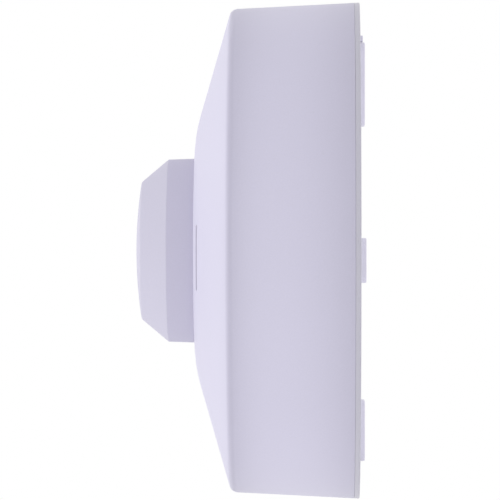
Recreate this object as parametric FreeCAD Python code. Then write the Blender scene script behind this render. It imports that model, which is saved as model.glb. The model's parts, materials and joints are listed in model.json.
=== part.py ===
import FreeCAD, Part
import math
import os

# A round microwave motion sensor for surface mounting, made of a base that stays on the wall
# and a head that turns onto it. Sizes are in millimetres.
# The wall is the plane y = 0, the front faces -Y and +Z is up.
# A depth is a distance in front of the wall. An angle runs from +X towards +Z.

# Outer form of the housing and the rim
rim_radius = 57.5
rim_stand = 1.25
flange_thick = 1.2
part_line_gap = 0.15
edge_round = 0.3
wall_draft = 2.9
wall_thick = 2.2
corner_round = 2.0
cone_rise = 8.4
face_depth = 39.25
crown_step = 5.73
crown_round = 30.0

# Centre cap
cap_radius = 21.35
cap_gap = 0.15
cap_draft = 1.9
cap_wall_height = 6.1
cap_chamfer_angle = 40.0
dome_edge_step = 5.4
dome_rise = 1.25
dome_edge_round = 1.0
cap_thick = 1.8
cap_fit = 0.35
crush_rib_fit = 0.05
crush_rib_width = 1.0
crush_rib_height = 3.2
crush_rib_count = 6

# Collar that carries the cap
collar_height = 4.0
collar_thick = 1.8
collar_chamfer = 0.5

# Trim dials behind the cap
dial_names = ("sensitivity_dial", "time_dial", "light_dial")
dial_first_angle = 90.0
dial_ring_radius = 9.6
dial_radius = 5.25
dial_height = 3.2
dial_gap = 0.2
dial_edge = 0.5
flute_count = 12
flute_radius = 0.55
driver_slot_width = 1.1
driver_slot_depth = 1.2
pointer_start = 1.5
spindle_radius = 2.0
spindle_fit = 0.08
spindle_end_gap = 0.4
bush_wall = 1.3
bush_length = 1.6

# Light window in the crown
window_step = 3.12
window_angle = -3.2
window_half_angle = 14.2
window_slot = 1.1
window_fit = 0.05
window_recess = 0.35
window_seat_gap = 0.2
window_flange_reach = 1.4
window_flange_thick = 0.8
guide_thick = 1.0
guide_half_angle = 8.0
guide_gap = 0.3

# Base plate
floor_recess = 1.0
floor_thick = 2.0
spigot_gap = 4.3
spigot_thick = 2.0
spigot_depth = 12.0
back_rib_height = 0.8
back_rib_width = 1.2
back_ring_radius = 28.0
back_rib_count = 8
pad_width = 14.0
top_pad_inset = 0.9
top_pad_length = 19.2
low_pad_inset = 0.4
low_pad_length = 13.9
side_pad_inset = 13.0
side_pad_height = 10.0
side_pad_drop = 2.2
pad_round = 2.0
locating_rib_length = 1.4
locating_rib_reach = 0.8
locating_rib_width = 6.0
locating_rib_height = 0.8
screw_slot_inset = 9.0
screw_slot_width = 4.0
screw_slot_length = 9.0

# Cable entry
cable_hole_radius = 9.0
cable_radius = 3.8
grommet_flange_reach = 2.0
grommet_flange_thick = 1.0
grommet_web_thick = 2.5
grommet_fit = 0.05

# Bayonet
lug_count = 3
lug_first_angle = 30.0
lug_half_angle = 6.0
lug_reach = 2.4
lug_inset = 0.5
lug_thick = 2.0
stop_width_angle = 2.0
stop_gap_angle = 0.35
catch_gap = 0.3
catch_thick = 2.0
catch_clearance = 0.5

# Terminal block and the contacts that the head turns into
way_angles = (-25.0, 0.0, 25.0)
block_grommet_gap = 1.5
block_length = 15.0
block_half_angle = 38.0
block_cover_gap = 0.4
block_round = 0.6
way_floor = 0.95
way_width = 4.6
way_height = 5.4
clamp_inset = 6.0
clamp_hole_radius = 2.2
peg_radius = 1.2
peg_fit = 0.1
peg_inset = 3.5
peg_height = 2.8
strip_thick = 0.8
strip_width = 4.2
strip_tail = 3.0
jaw_end_gap = 2.3
jaw_stem_gap = 1.4
jaw_opening = 1.0
jaw_rest_length = 3.0
clamp_length = 4.6
clamp_height = 4.2
wire_hole = 2.6
clamp_wall = 0.8
clamp_screw_radius = 1.0
clamp_screw_fit = 0.05
clamp_screw_length = 1.9
clamp_head_radius = 1.9
clamp_head_height = 1.8
clamp_screw_slot = 0.7
blade_thick = 0.8
blade_width = 4.0
blade_block_gap = 0.9
blade_length = 9.8

# Boards, their spacing and their screws
cover_spigot_gap = 1.0
cover_thick = 1.8
cover_fit = 0.6
cover_notch_half_angle = 7.5
cover_notch_gap = 0.6
cover_boss_height = 0.6
cover_boss_radius = 3.2
cover_rib_inset = 1.0
blade_slot_gap = 0.4
board_thick = 1.6
power_board_inset = 2.0
sensor_board_inset = 4.0
screw_inset = 8.0
screw_first_angle = 60.0
screw_count = 3
screw_radius = 1.25
screw_pilot_fit = 0.05
pilot_end_gap = 0.5
screw_skin = 2.14
screw_hole_radius = 1.7
screw_head_radius = 2.8
screw_head_height = 1.7
screw_head_round = 1.2
screw_slot = 0.9
spacer_radius = 3.0
boss_radius = 3.5
housing_rib_width = 1.2
housing_rib_count = 9
housing_rib_first_angle = 20.0
housing_rib_window_gap = 3.3
housing_rib_gap = 0.8

# Parts on the sensor board
pot_size = 7.5
pot_height = 3.0
pot_top_radius = 3.6
pot_top_height = 1.8
pot_bush_gap = 0.4
pot_bore_depth = 2.0
patch_size = 13.0
patch_thick = 0.15
patch_offset = 29.0
feed_width = 1.0
feed_length = 5.0
shield_length = 24.0
shield_width = 16.0
shield_height = 3.0
shield_wall = 0.4
shield_middle = 28.0
led_radius = 1.5
led_angle = -8.0
sensor_angle = 2.0
light_sensor_size = 3.0
light_sensor_height = 1.4
light_lens_radius = 1.1
chip_size = 7.0
chip_height = 1.4
chip_x = 9.0
chip_z = 2.0
chip_leads = 6
chip_lead_spacing = 1.0
chip_lead_reach = 1.0
chip_lead_width = 0.45

# Plug and socket between the boards
header_x = 30.0
header_z = 6.0
header_pin_count = 5
header_spacing = 2.54
header_width = 2.5
header_base_height = 2.5
header_pin_side = 0.64
header_socket_gap = 0.8
socket_hole_gap = 0.15
pin_tip_height = 2.0

# Parts on the power board
relay_size = (19.0, 15.0)
relay_place = (-20.0, 12.0)
relay_top_gap = 1.8
film_capacitor_size = (18.0, 8.0)
film_capacitor_place = (-19.0, -12.0)
film_capacitor_top_gap = 1.3
moulded_edge = 0.6
electrolytic_length = 12.0
electrolytic_place = (0.0, -26.0)
electrolytic_top_gap = 3.75
electrolytic_groove = 0.4
round_part_gap = 0.05
choke_radius = 4.0
choke_waist = 3.2
choke_flange = 1.2
choke_place = (20.0, -18.0)
choke_top_gap = 2.8
varistor_thick = 3.6
varistor_place = (-18.0, -29.0)
varistor_lift = 1.2
varistor_top_gap = 1.4
lead_radius = 0.4
fuse_radius = 1.7
fuse_length = 10.0
fuse_place = (0.0, 38.0)
fuse_lift = 0.5
fuse_lead_reach = 1.8
lead_bend = 1.0
bridge_size = (8.4, 6.4, 3.2)
bridge_place = (6.0, -8.0)
bridge_lead_spacing = 5.0
bridge_lead_width = 1.2

V = FreeCAD.Vector
origin = V(0, 0, 0)
front = V(0, -1, 0)
tiny = 1e-6
over = 1.0

# Depths and radii that follow from the sizes above
draft_slope = math.tan(math.radians(wall_draft))
cap_slope = math.tan(math.radians(cap_draft))
flange_front = rim_stand + flange_thick
housing_back = flange_front + part_line_gap
floor_back = rim_stand + floor_recess
floor_front = floor_back + floor_thick
spigot_outer = rim_radius - wall_thick - spigot_gap
spigot_inner = spigot_outer - spigot_thick
lug_back_depth = spigot_depth - lug_inset - lug_thick
corner_depth = face_depth - cone_rise
corner_radius = rim_radius - (corner_depth - rim_stand) * draft_slope
crown_radius = cap_radius + crown_step
cone_slope = cone_rise / (corner_radius - crown_radius)
cone_tilt = math.atan(cone_slope)
inner_face_depth = face_depth - wall_thick
window_radius = crown_radius + window_step
cap_back = face_depth + cap_gap
dome_edge_radius = cap_radius - dome_edge_step
cover_back_depth = spigot_depth + cover_spigot_gap
cover_front = cover_back_depth + cover_thick
power_board_radius = spigot_inner - power_board_inset
sensor_board_radius = spigot_inner - sensor_board_inset
screw_ring_radius = spigot_inner - screw_inset
power_back = cover_front + cover_boss_height
power_front = power_back + board_thick
pot_front = inner_face_depth - bush_length - pot_bush_gap
sensor_front = pot_front - pot_top_height - pot_height
sensor_back = sensor_front - board_thick
board_space = sensor_back - power_front
block_inner = cable_hole_radius + grommet_flange_reach + block_grommet_gap
block_outer = block_inner + block_length
block_front = cover_back_depth - block_cover_gap
clamp_ring_radius = block_inner + clamp_inset
peg_ring_radius = block_outer - peg_inset
blade_inner = block_outer + blade_block_gap
blade_outer = blade_inner + blade_length
jaw_inner = blade_inner + blade_thick + jaw_stem_gap
jaw_outer = blade_outer + jaw_end_gap
strip_back = floor_front + way_floor
strip_front = strip_back + strip_thick
tongue_back = strip_front + (jaw_opening - blade_thick) / 2
tongue_front = tongue_back + blade_thick
jaw_front = strip_front + jaw_opening + strip_thick
spindle_end = pot_front - pot_bore_depth + spindle_end_gap
dial_back = face_depth + dial_gap
screw_angles = [screw_first_angle + 360.0 / screw_count * i for i in range(screw_count)]
lug_angles = [lug_first_angle + 360.0 / lug_count * i for i in range(lug_count)]
dial_angles = [dial_first_angle + 360.0 / len(dial_names) * i for i in range(len(dial_names))]


def outline(corners):
    """Closed wire through corners (across, depth); a third value rounds that corner."""
    points = [V(corner[0], -corner[1], 0) for corner in corners]
    bends = []
    for i, corner in enumerate(corners):
        here = points[i]
        if len(corner) < 3:
            bends.append((here, None, here))
            continue
        back = points[i - 1] - here
        ahead = points[(i + 1) % len(points)] - here
        half = back.getAngle(ahead) / 2
        reach = min(corner[2] / math.tan(half), back.Length / 2, ahead.Length / 2)
        radius = reach * math.tan(half)
        back.normalize()
        ahead.normalize()
        bisector = back + ahead
        bisector.normalize()
        middle = here + bisector * (radius / math.sin(half) - radius)
        bends.append((here + back * reach, middle, here + ahead * reach))
    edges = []
    for i, (first, middle, last) in enumerate(bends):
        if middle is not None:
            edges.append(Part.Arc(first, middle, last).toShape())
        following = bends[(i + 1) % len(bends)][0]
        if (following - last).Length > tiny:
            edges.append(Part.LineSegment(last, following).toShape())
    return Part.Wire(edges)


def upright(shape):
    """The shape with its faces pointing outwards."""
    if shape.Volume < 0:
        shape.reverse()
    return shape


def turn(shape, angle):
    """A copy turned about the sensor's axis."""
    turned_shape = shape.copy()
    turned_shape.rotate(origin, front, angle)
    return turned_shape


def turned(corners, start=0.0, sweep=360.0):
    """Solid of revolution of an outline, whole or over a sector."""
    face = turn(Part.Face(outline(corners)), start)
    return upright(face.revolve(origin, front, sweep))


def ring(inner, outer, depth_a, depth_b, start=0.0, sweep=360.0):
    """Ring or sector of square section."""
    corners = [(inner, depth_a), (outer, depth_a), (outer, depth_b), (inner, depth_b)]
    return turned(corners, start, sweep)


def post(x, z, radius, depth_a, depth_b):
    """Round post or hole along the depth."""
    return Part.makeCylinder(radius, depth_b - depth_a, V(x, -depth_a, z), front)


def bar(x_a, x_b, z_a, z_b, depth_a, depth_b):
    """Square block between two corners."""
    return Part.makeBox(x_b - x_a, depth_b - depth_a, z_b - z_a, V(x_a, -depth_b, z_a))


def block_at(place, size, depth_a):
    """Block of size (x, z, depth) centred on a place of a board."""
    x, z = place
    half_x = size[0] / 2
    half_z = size[1] / 2
    return bar(x - half_x, x + half_x, z - half_z, z + half_z, depth_a, depth_a + size[2])


def spoke(r_a, r_b, width, depth_a, depth_b, angle):
    """Block that runs outwards along one angle."""
    return turn(bar(r_a, r_b, -width / 2, width / 2, depth_a, depth_b), angle)


def polar(radius, angle):
    """Place (x, z) on a circle about the axis."""
    return radius * math.cos(math.radians(angle)), radius * math.sin(math.radians(angle))


def plate(corners, depth_a, depth_b):
    """Plate between two depths whose face has corners (x, z, rounding)."""
    wire = outline([(corner[0], -corner[1]) + tuple(corner[2:]) for corner in corners])
    wire.rotate(origin, V(1, 0, 0), 90)
    wire.translate(V(0, -depth_a, 0))
    return upright(Part.Face(wire).extrude(front * (depth_b - depth_a)))


def rounded_plate(x, z, length, height, rounding, depth_a, depth_b):
    """Plate with rounded corners about a centre."""
    half_x = length / 2
    half_z = height / 2
    corners = [(x + i * half_x, z + j * half_z, rounding) for i, j in ((-1, -1), (1, -1), (1, 1), (-1, 1))]
    return plate(corners, depth_a, depth_b)


def joined(shape, others):
    """One solid from a shape and what grows out of it."""
    return shape.fuse(others).removeSplitter()


def sheet_strip(corners, width, angle):
    """Bent strip: an outline (radius, depth) as wide as the strip, set along one angle."""
    face = Part.Face(outline(corners))
    face.translate(V(0, 0, -width / 2))
    return turn(upright(face.extrude(V(0, 0, width))), angle)


def inset(path, thick):
    """The open path (radius, depth) moved inwards, ending on the first depth and on the axis."""
    lines = []
    for (r_a, d_a), (r_b, d_b) in zip(path, path[1:]):
        length = math.hypot(r_b - r_a, d_b - d_a)
        along = ((r_b - r_a) / length, (d_b - d_a) / length)
        lines.append(((r_a - along[1] * thick, d_a + along[0] * thick), along))
    first, direction = lines[0]
    shift = (path[0][1] - first[1]) / direction[1]
    moved = [(first[0] + direction[0] * shift, path[0][1])]
    for (p, u), (q, w) in zip(lines, lines[1:]):
        shift = ((q[0] - p[0]) * w[1] - (q[1] - p[1]) * w[0]) / (u[0] * w[1] - u[1] * w[0])
        moved.append((p[0] + u[0] * shift, p[1] + u[1] * shift))
    last, direction = lines[-1]
    moved.append((0.0, last[1] - direction[1] / direction[0] * last[0]))
    return moved


def housing_path():
    """The housing's outside from its rear edge over the cone to the centre of the crown."""
    back_radius = rim_radius - (housing_back - rim_stand) * draft_slope
    return [
        (back_radius, housing_back),
        (corner_radius, corner_depth),
        (crown_radius, face_depth),
        (0.0, face_depth),
    ]


def cone_depth(radius):
    """Depth of the cone's outside at a radius."""
    return corner_depth + (corner_radius - radius) * cone_slope


def along_cone(across, inwards):
    """Point (radius, depth) measured along the cone and into it from the window's middle."""
    radius = window_radius + across * math.cos(cone_tilt) - inwards * math.sin(cone_tilt)
    depth = cone_depth(window_radius) - across * math.sin(cone_tilt) - inwards * math.cos(cone_tilt)
    return radius, depth


def wall_inner_radius(depth):
    """Inside radius of the housing's side wall at a depth."""
    return rim_radius - (depth - rim_stand) * draft_slope - wall_thick / math.cos(math.radians(wall_draft))


def cap_inner_radius(height):
    """Inside radius of the cap's wall at a height over its rear edge."""
    return cap_radius - cap_thick / math.cos(math.radians(cap_draft)) - height * cap_slope


collar_outer = cap_inner_radius(collar_height) - cap_fit
catch_inner = spigot_outer + catch_clearance
cover_radius = wall_inner_radius(cover_front) - cover_fit
screw_end = cone_depth(screw_ring_radius) - screw_skin


def front_housing():
    """Drafted side wall, conical front and crown, with everything that is moulded inside them."""
    outer = housing_path()
    inner = inset(outer, wall_thick)
    filled = turned(
        [outer[0], outer[1] + (corner_round,), outer[2] + (crown_round,), outer[3], (0.0, housing_back)]
    )
    shell = turned(
        [
            outer[0] + (edge_round,),
            outer[1] + (corner_round,),
            outer[2] + (crown_round,),
            outer[3],
            inner[3],
            inner[2] + (crown_round - wall_thick,),
            inner[1] + (corner_round,),
            inner[0],
        ]
    )
    collar_end = face_depth + collar_height
    collar_inner = collar_outer - collar_thick
    collar = turned(
        [
            (collar_inner, face_depth - wall_thick / 2),
            (collar_outer, face_depth - wall_thick / 2),
            (collar_outer, collar_end - collar_chamfer),
            (collar_outer - collar_chamfer, collar_end),
            (collar_inner, collar_end),
        ]
    )
    grown = []
    rib_inner = window_radius + housing_rib_window_gap
    rib_back = sensor_front + housing_rib_gap
    for i in range(housing_rib_count):
        angle = housing_rib_first_angle + 360.0 / housing_rib_count * i
        grown.append(spoke(rib_inner, rim_radius, housing_rib_width, rib_back, face_depth, angle))
    for angle in screw_angles:
        x, z = polar(screw_ring_radius, angle)
        grown.append(post(x, z, boss_radius, sensor_front, face_depth))
    for angle in dial_angles:
        x, z = polar(dial_ring_radius, angle)
        grown.append(post(x, z, spindle_radius + bush_wall, pot_front + pot_bush_gap, face_depth))
    catch_front = lug_back_depth - catch_gap
    catch_back = catch_front - catch_thick
    for angle in lug_angles:
        start = angle - lug_half_angle
        grown.append(ring(catch_inner, rim_radius, catch_back, catch_front, start, 2 * lug_half_angle))
    inside = [filled.common(shape) for shape in grown]
    body = joined(shell, [collar] + inside)
    holes = []
    pilot_radius = screw_radius + screw_pilot_fit
    for angle in screw_angles:
        x, z = polar(screw_ring_radius, angle)
        holes.append(post(x, z, pilot_radius, sensor_front - over, screw_end + pilot_end_gap))
    for angle in dial_angles:
        x, z = polar(dial_ring_radius, angle)
        holes.append(post(x, z, spindle_radius + spindle_fit, pot_front, face_depth + over))
    slot = cone_strip(window_slot / 2, -over, wall_thick + over)
    holes.append(turned(slot, window_angle - window_half_angle, 2 * window_half_angle))
    return body.cut(holes)


def cone_strip(half, outside, inside):
    """Section of a strip that lies square to the cone, between two distances into it."""
    return [
        along_cone(-half, outside),
        along_cone(half, outside),
        along_cone(half, inside),
        along_cone(-half, inside),
    ]


def light_window():
    """Smoked strip in the crown's slot, with a flange and a light guide behind it."""
    half = window_slot / 2 - window_fit
    seat = wall_thick + window_seat_gap
    middle = seat + window_flange_thick / 2
    stem = cone_strip(half, window_recess, middle)
    flange = cone_strip(half + window_flange_reach, seat, seat + window_flange_thick)
    play = math.degrees(window_fit / window_radius)
    start = window_angle - window_half_angle + play
    sweep = 2 * (window_half_angle - play)
    radius, depth = along_cone(0.0, middle)
    inner = radius - guide_thick / 2
    guide_back = led_top() + guide_gap
    guide_start = window_angle - guide_half_angle
    guide = ring(inner, inner + guide_thick, guide_back, depth, guide_start, 2 * guide_half_angle)
    return joined(turned(stem, start, sweep), [turned(flange, start, sweep), guide])


def led_top():
    """Depth of the lamp's tip."""
    return sensor_front + 2 * led_radius


def guide_place(angle):
    """Place on the sensor board straight behind the light guide."""
    return polar(along_cone(0.0, wall_thick + window_seat_gap + window_flange_thick / 2)[0], angle)


def centre_cap():
    """Thin domed cap with a drafted wall, a chamfer and crush ribs inside."""
    wall_end = cap_back + cap_wall_height
    wall_radius = cap_radius - cap_wall_height * cap_slope
    chamfer_slope = math.tan(math.radians(cap_chamfer_angle))
    dome_edge_depth = wall_end + (wall_radius - dome_edge_radius) / chamfer_slope
    apex = dome_edge_depth + dome_rise
    dome_radius = (dome_edge_radius ** 2 + dome_rise ** 2) / (2 * dome_rise)
    dome_middle = V(0, -(apex - dome_radius), 0)
    outer = [
        (cap_radius, cap_back),
        (wall_radius, wall_end),
        (dome_edge_radius - dome_rise * chamfer_slope, apex),
        (0.0, apex),
    ]
    inner = inset(outer, cap_thick)
    ball = Part.makeSphere(dome_radius, dome_middle)
    solid = turned([outer[0] + (edge_round,), outer[1] + (edge_round,), outer[2], outer[3], (0.0, cap_back)])
    solid = solid.common(ball)
    dome_edges = [edge for edge in solid.Edges
                  if abs(-edge.CenterOfMass.y - dome_edge_depth) < dome_rise / 2
                  and abs(edge.BoundBox.XMax - dome_edge_radius) < dome_rise]
    solid = solid.makeFillet(dome_edge_round, dome_edges)
    hollow = turned([(inner[0][0], cap_back - over), inner[0], inner[1], inner[2],
                     (0.0, inner[2][1]), (0.0, cap_back - over)])
    hollow = hollow.common(Part.makeSphere(dome_radius - cap_thick, dome_middle))
    ribs = [spoke(collar_outer + crush_rib_fit, cap_radius - cap_thick / 2, crush_rib_width,
                  cap_back + edge_round, cap_back + crush_rib_height, 360.0 / crush_rib_count * i)
            for i in range(crush_rib_count)]
    return joined(solid.cut(hollow), ribs)


def dial(angle):
    """Fluted trim dial with a driver slot and a pointer groove, on its spindle."""
    dial_front = dial_back + dial_height
    body = turned(
        [
            (0.0, spindle_end),
            (spindle_radius, spindle_end, dial_edge),
            (spindle_radius, dial_back),
            (dial_radius, dial_back),
            (dial_radius, dial_front, dial_edge),
            (0.0, dial_front),
        ]
    )
    cuts = []
    for i in range(flute_count):
        x, z = polar(dial_radius + flute_radius / 2, 360.0 / flute_count * (i + 0.5))
        cuts.append(post(x, z, flute_radius, dial_back - over, dial_front + over))
    slot_reach = dial_radius - 2 * dial_edge
    slot_half = driver_slot_width / 2
    slot_floor = dial_front - driver_slot_depth
    cuts.append(bar(-slot_reach, slot_reach, -slot_half, slot_half, slot_floor, dial_front + over))
    pointer_half = slot_half / 2
    pointer_floor = dial_front - driver_slot_depth / 2
    pointer_end = dial_radius + over
    pointer = bar(-pointer_half, pointer_half, pointer_start, pointer_end, pointer_floor, dial_front + over)
    cuts.append(pointer)
    body = body.cut(cuts)
    x, z = polar(dial_ring_radius, angle)
    body.translate(V(x, 0, z))
    return body


def base_plate():
    """Moulded base: rim flange, floor, spigot with bayonet lugs, and the pads and ribs behind it."""
    body = turned(
        [
            (0.0, floor_back),
            (spigot_inner, floor_back),
            (spigot_inner, rim_stand),
            (rim_radius, rim_stand, edge_round),
            (rim_radius - flange_thick * draft_slope, flange_front, edge_round),
            (spigot_outer, flange_front),
            (spigot_outer, spigot_depth, edge_round),
            (spigot_inner, spigot_depth, edge_round),
            (spigot_inner, floor_front),
            (0.0, floor_front),
        ]
    )
    rib_back = floor_back - back_rib_height
    hub_radius = cable_hole_radius + grommet_flange_reach + back_rib_width
    grown = [
        ring(back_ring_radius, back_ring_radius + back_rib_width, rib_back, floor_back + over),
        ring(hub_radius, hub_radius + back_rib_width, rib_back, floor_back + over),
    ]
    rib_start = hub_radius + back_rib_width / 2
    rib_end = spigot_inner + over
    for i in range(back_rib_count):
        angle = 360.0 / back_rib_count * (i + 0.5)
        grown.append(spoke(rib_start, rib_end, back_rib_width, rib_back, floor_back + over, angle))
    for x, z, length, height in pad_places():
        grown.append(rounded_plate(x, z, length, height, pad_round, 0.0, floor_back + over))
    half_rib = locating_rib_width / 2
    rib_top = spigot_inner + locating_rib_reach
    rib_low = rib_top - locating_rib_length
    locating_back = rim_stand - locating_rib_height
    grown.append(bar(-half_rib, half_rib, rib_low, rib_top, locating_back, floor_back + over))
    lug_root = spigot_outer - spigot_thick / 2
    lug_tip = spigot_outer + lug_reach
    lug_front = lug_back_depth + lug_thick
    stop_back = lug_back_depth - catch_gap - catch_thick
    for angle in lug_angles:
        stop_start = angle - lug_half_angle - stop_gap_angle - stop_width_angle
        lug_sweep = angle + lug_half_angle - stop_start
        grown.append(ring(lug_root, lug_tip, lug_back_depth, lug_front, stop_start, lug_sweep))
        grown.append(ring(lug_root, lug_tip, stop_back, lug_front, stop_start, stop_width_angle))
    rest_end = jaw_outer - strip_thick
    rest_start = rest_end - jaw_rest_length
    for angle in way_angles:
        grown.append(spoke(rest_start, rest_end, strip_width, floor_front - over, strip_back, angle))
    for x, z in peg_places():
        grown.append(post(x, z, peg_radius, floor_front - over, floor_front + peg_height))
    body = joined(body, grown)
    holes = [post(0.0, 0.0, cable_hole_radius, -over, spigot_depth)]
    slot_size = (screw_slot_width, screw_slot_length, screw_slot_width / 2)
    for side in (-1, 1):
        middle = side * (spigot_inner - screw_slot_inset)
        holes.append(rounded_plate(0.0, middle, *slot_size, -over, spigot_depth))
    return body.cut(holes)


def pad_places():
    """Centres and sizes of the pads that rest on the wall: upper, lower and one each side."""
    top = spigot_inner - top_pad_inset - top_pad_length / 2
    low = spigot_inner - low_pad_inset - low_pad_length / 2
    pads = [(0.0, top, pad_width, top_pad_length), (0.0, -low, pad_width, low_pad_length)]
    middle = spigot_inner - side_pad_inset
    for side in (-1, 1):
        pads.append((side * middle, -side_pad_drop, pad_width, side_pad_height))
    return pads


def peg_places():
    """Places of the pegs, midway between the ways."""
    pairs = zip(way_angles, way_angles[1:])
    return [polar(peg_ring_radius, (a + b) / 2) for a, b in pairs]


def cable_grommet():
    """Rubber grommet that grips the edge of the cable hole, with the cable's hole in its web."""
    flange_radius = cable_hole_radius + grommet_flange_reach
    web_middle = (floor_back + floor_front) / 2
    web_back = web_middle - grommet_web_thick / 2
    web_front = web_middle + grommet_web_thick / 2
    wall_inner = cable_hole_radius - grommet_flange_reach
    return turned(
        [
            (cable_radius, web_back),
            (wall_inner, web_back),
            (wall_inner, floor_back - grommet_flange_thick),
            (flange_radius, floor_back - grommet_flange_thick, edge_round),
            (flange_radius, floor_back),
            (cable_hole_radius - grommet_fit, floor_back),
            (cable_hole_radius - grommet_fit, floor_front),
            (flange_radius, floor_front),
            (flange_radius, floor_front + grommet_flange_thick, edge_round),
            (wall_inner, floor_front + grommet_flange_thick),
            (wall_inner, web_front),
            (cable_radius, web_front),
        ]
    )


def terminal_block():
    """Fan-shaped block with a wire way, a screw hole and a strip slot for each conductor."""
    body = turned(
        [
            (block_inner, floor_front),
            (block_outer, floor_front),
            (block_outer, block_front, block_round),
            (block_inner, block_front, block_round),
        ],
        -block_half_angle,
        2 * block_half_angle,
    )
    cuts = []
    way_front = strip_back + way_height
    way_end = clamp_ring_radius + clamp_length / 2 + 2 * peg_fit
    slot_end = block_outer + over
    slot_width = strip_width + 2 * peg_fit
    slot_front = strip_front + peg_fit
    for angle in way_angles:
        cuts.append(spoke(block_inner - over, way_end, way_width, strip_back, way_front, angle))
        cuts.append(spoke(way_end - over, slot_end, slot_width, strip_back, slot_front, angle))
        x, z = polar(clamp_ring_radius, angle)
        cuts.append(post(x, z, clamp_hole_radius, way_front - over, block_front + over))
    hole_front = floor_front + peg_height + peg_fit
    for x, z in peg_places():
        cuts.append(post(x, z, peg_radius + peg_fit, floor_front - over, hole_front))
    return body.cut(cuts)


def contact_strips():
    """Brass strips: each runs from its clamp and folds back into a jaw for the head's blade."""
    strip_inner = clamp_ring_radius - strip_tail
    corners = [
        (strip_inner, strip_back),
        (jaw_outer, strip_back, strip_thick + jaw_opening / 2),
        (jaw_outer, jaw_front, strip_thick + jaw_opening / 2),
        (jaw_inner, jaw_front),
        (jaw_inner, jaw_front - strip_thick),
        (jaw_outer - strip_thick, jaw_front - strip_thick, jaw_opening / 2),
        (jaw_outer - strip_thick, strip_front, jaw_opening / 2),
        (strip_inner, strip_front),
    ]
    return Part.makeCompound([sheet_strip(corners, strip_width, angle) for angle in way_angles])


def wire_clamps():
    """Brass clamp cages on the strips, each with a wire hole and a hole for its screw."""
    inner = clamp_ring_radius - clamp_length / 2
    outer = clamp_ring_radius + clamp_length / 2
    cage_front = strip_front + clamp_height
    hole_back = strip_front + clamp_wall
    hole_front = hole_back + wire_hole
    bore_radius = clamp_screw_radius + clamp_screw_fit
    cages = []
    for angle in way_angles:
        cage = spoke(inner, outer, strip_width, strip_front, cage_front, angle)
        hole = spoke(inner - over, outer + over, wire_hole, hole_back, hole_front, angle)
        x, z = polar(clamp_ring_radius, angle)
        bore = post(x, z, bore_radius, hole_back + wire_hole / 2, cage_front + over)
        cages.append(cage.cut([hole, bore]))
    return Part.makeCompound(cages)


def clamp_screws():
    """Slotted screws that close the clamps."""
    head_back = strip_front + clamp_height
    head_middle = head_back + clamp_head_height / 2
    head_front = head_back + clamp_head_height
    slot_half = clamp_screw_slot / 2
    slot_reach = clamp_head_radius + over
    screws = []
    for angle in way_angles:
        shank = post(0.0, 0.0, clamp_screw_radius, head_back - clamp_screw_length, head_middle)
        head = post(0.0, 0.0, clamp_head_radius, head_back, head_front)
        slot = bar(-slot_reach, slot_reach, -slot_half, slot_half, head_middle, head_front + over)
        screw = joined(head, [shank]).cut(slot)
        x, z = polar(clamp_ring_radius, angle)
        screw.translate(V(x, 0, z))
        screws.append(screw)
    return Part.makeCompound(screws)


def contact_blades():
    """Brass blades on the power board: a stem through the cover and a tongue for the jaw."""
    corners = [
        (blade_inner, tongue_back, blade_thick),
        (blade_outer, tongue_back),
        (blade_outer, tongue_front),
        (blade_inner + blade_thick, tongue_front),
        (blade_inner + blade_thick, power_back),
        (blade_inner, power_back),
    ]
    return Part.makeCompound([sheet_strip(corners, blade_width, angle) for angle in way_angles])


def head_cover():
    """Disc that closes the head, with notches that pass the catches, and slots for the blades."""
    body = turned(
        [
            (0.0, cover_back_depth),
            (cover_radius, cover_back_depth, edge_round),
            (cover_radius, cover_front, edge_round),
            (0.0, cover_front),
        ]
    )
    rib_outer = power_board_radius + housing_rib_width - cover_rib_inset
    rib_back = cover_back_depth - cover_boss_height
    grown = [ring(rib_outer - housing_rib_width, rib_outer, rib_back, cover_front)]
    cut_back = cover_back_depth - over
    cut_front = cover_front + over
    cuts = []
    for angle in screw_angles:
        x, z = polar(screw_ring_radius, angle)
        grown.append(post(x, z, cover_boss_radius, cover_back_depth, power_back))
        cuts.append(post(x, z, screw_hole_radius, cut_back, power_back + over))
    notch_inner = catch_inner - cover_notch_gap
    notch_outer = cover_radius + over
    for angle in lug_angles:
        start = angle - cover_notch_half_angle
        cuts.append(ring(notch_inner, notch_outer, cut_back, cut_front, start, 2 * cover_notch_half_angle))
    slot_inner = blade_inner - blade_slot_gap
    slot_outer = blade_inner + blade_thick + blade_slot_gap
    slot_width = blade_width + 2 * blade_slot_gap
    for angle in way_angles:
        cuts.append(spoke(slot_inner, slot_outer, slot_width, cut_back, cut_front, angle))
    return joined(body, grown).cut(cuts)


def board(radius, back):
    """Round circuit board with its screw holes."""
    holes = []
    for angle in screw_angles:
        x, z = polar(screw_ring_radius, angle)
        holes.append(post(x, z, screw_hole_radius, back - over, back + board_thick + over))
    return post(0.0, 0.0, radius, back, back + board_thick).cut(holes)


def board_spacers():
    """Tubes that hold the two boards apart round the long screws."""
    tubes = []
    for angle in screw_angles:
        x, z = polar(screw_ring_radius, angle)
        tube = post(x, z, spacer_radius, power_front, sensor_back)
        tubes.append(tube.cut(post(x, z, screw_hole_radius, power_front - over, sensor_back + over)))
    return Part.makeCompound(tubes)


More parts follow.
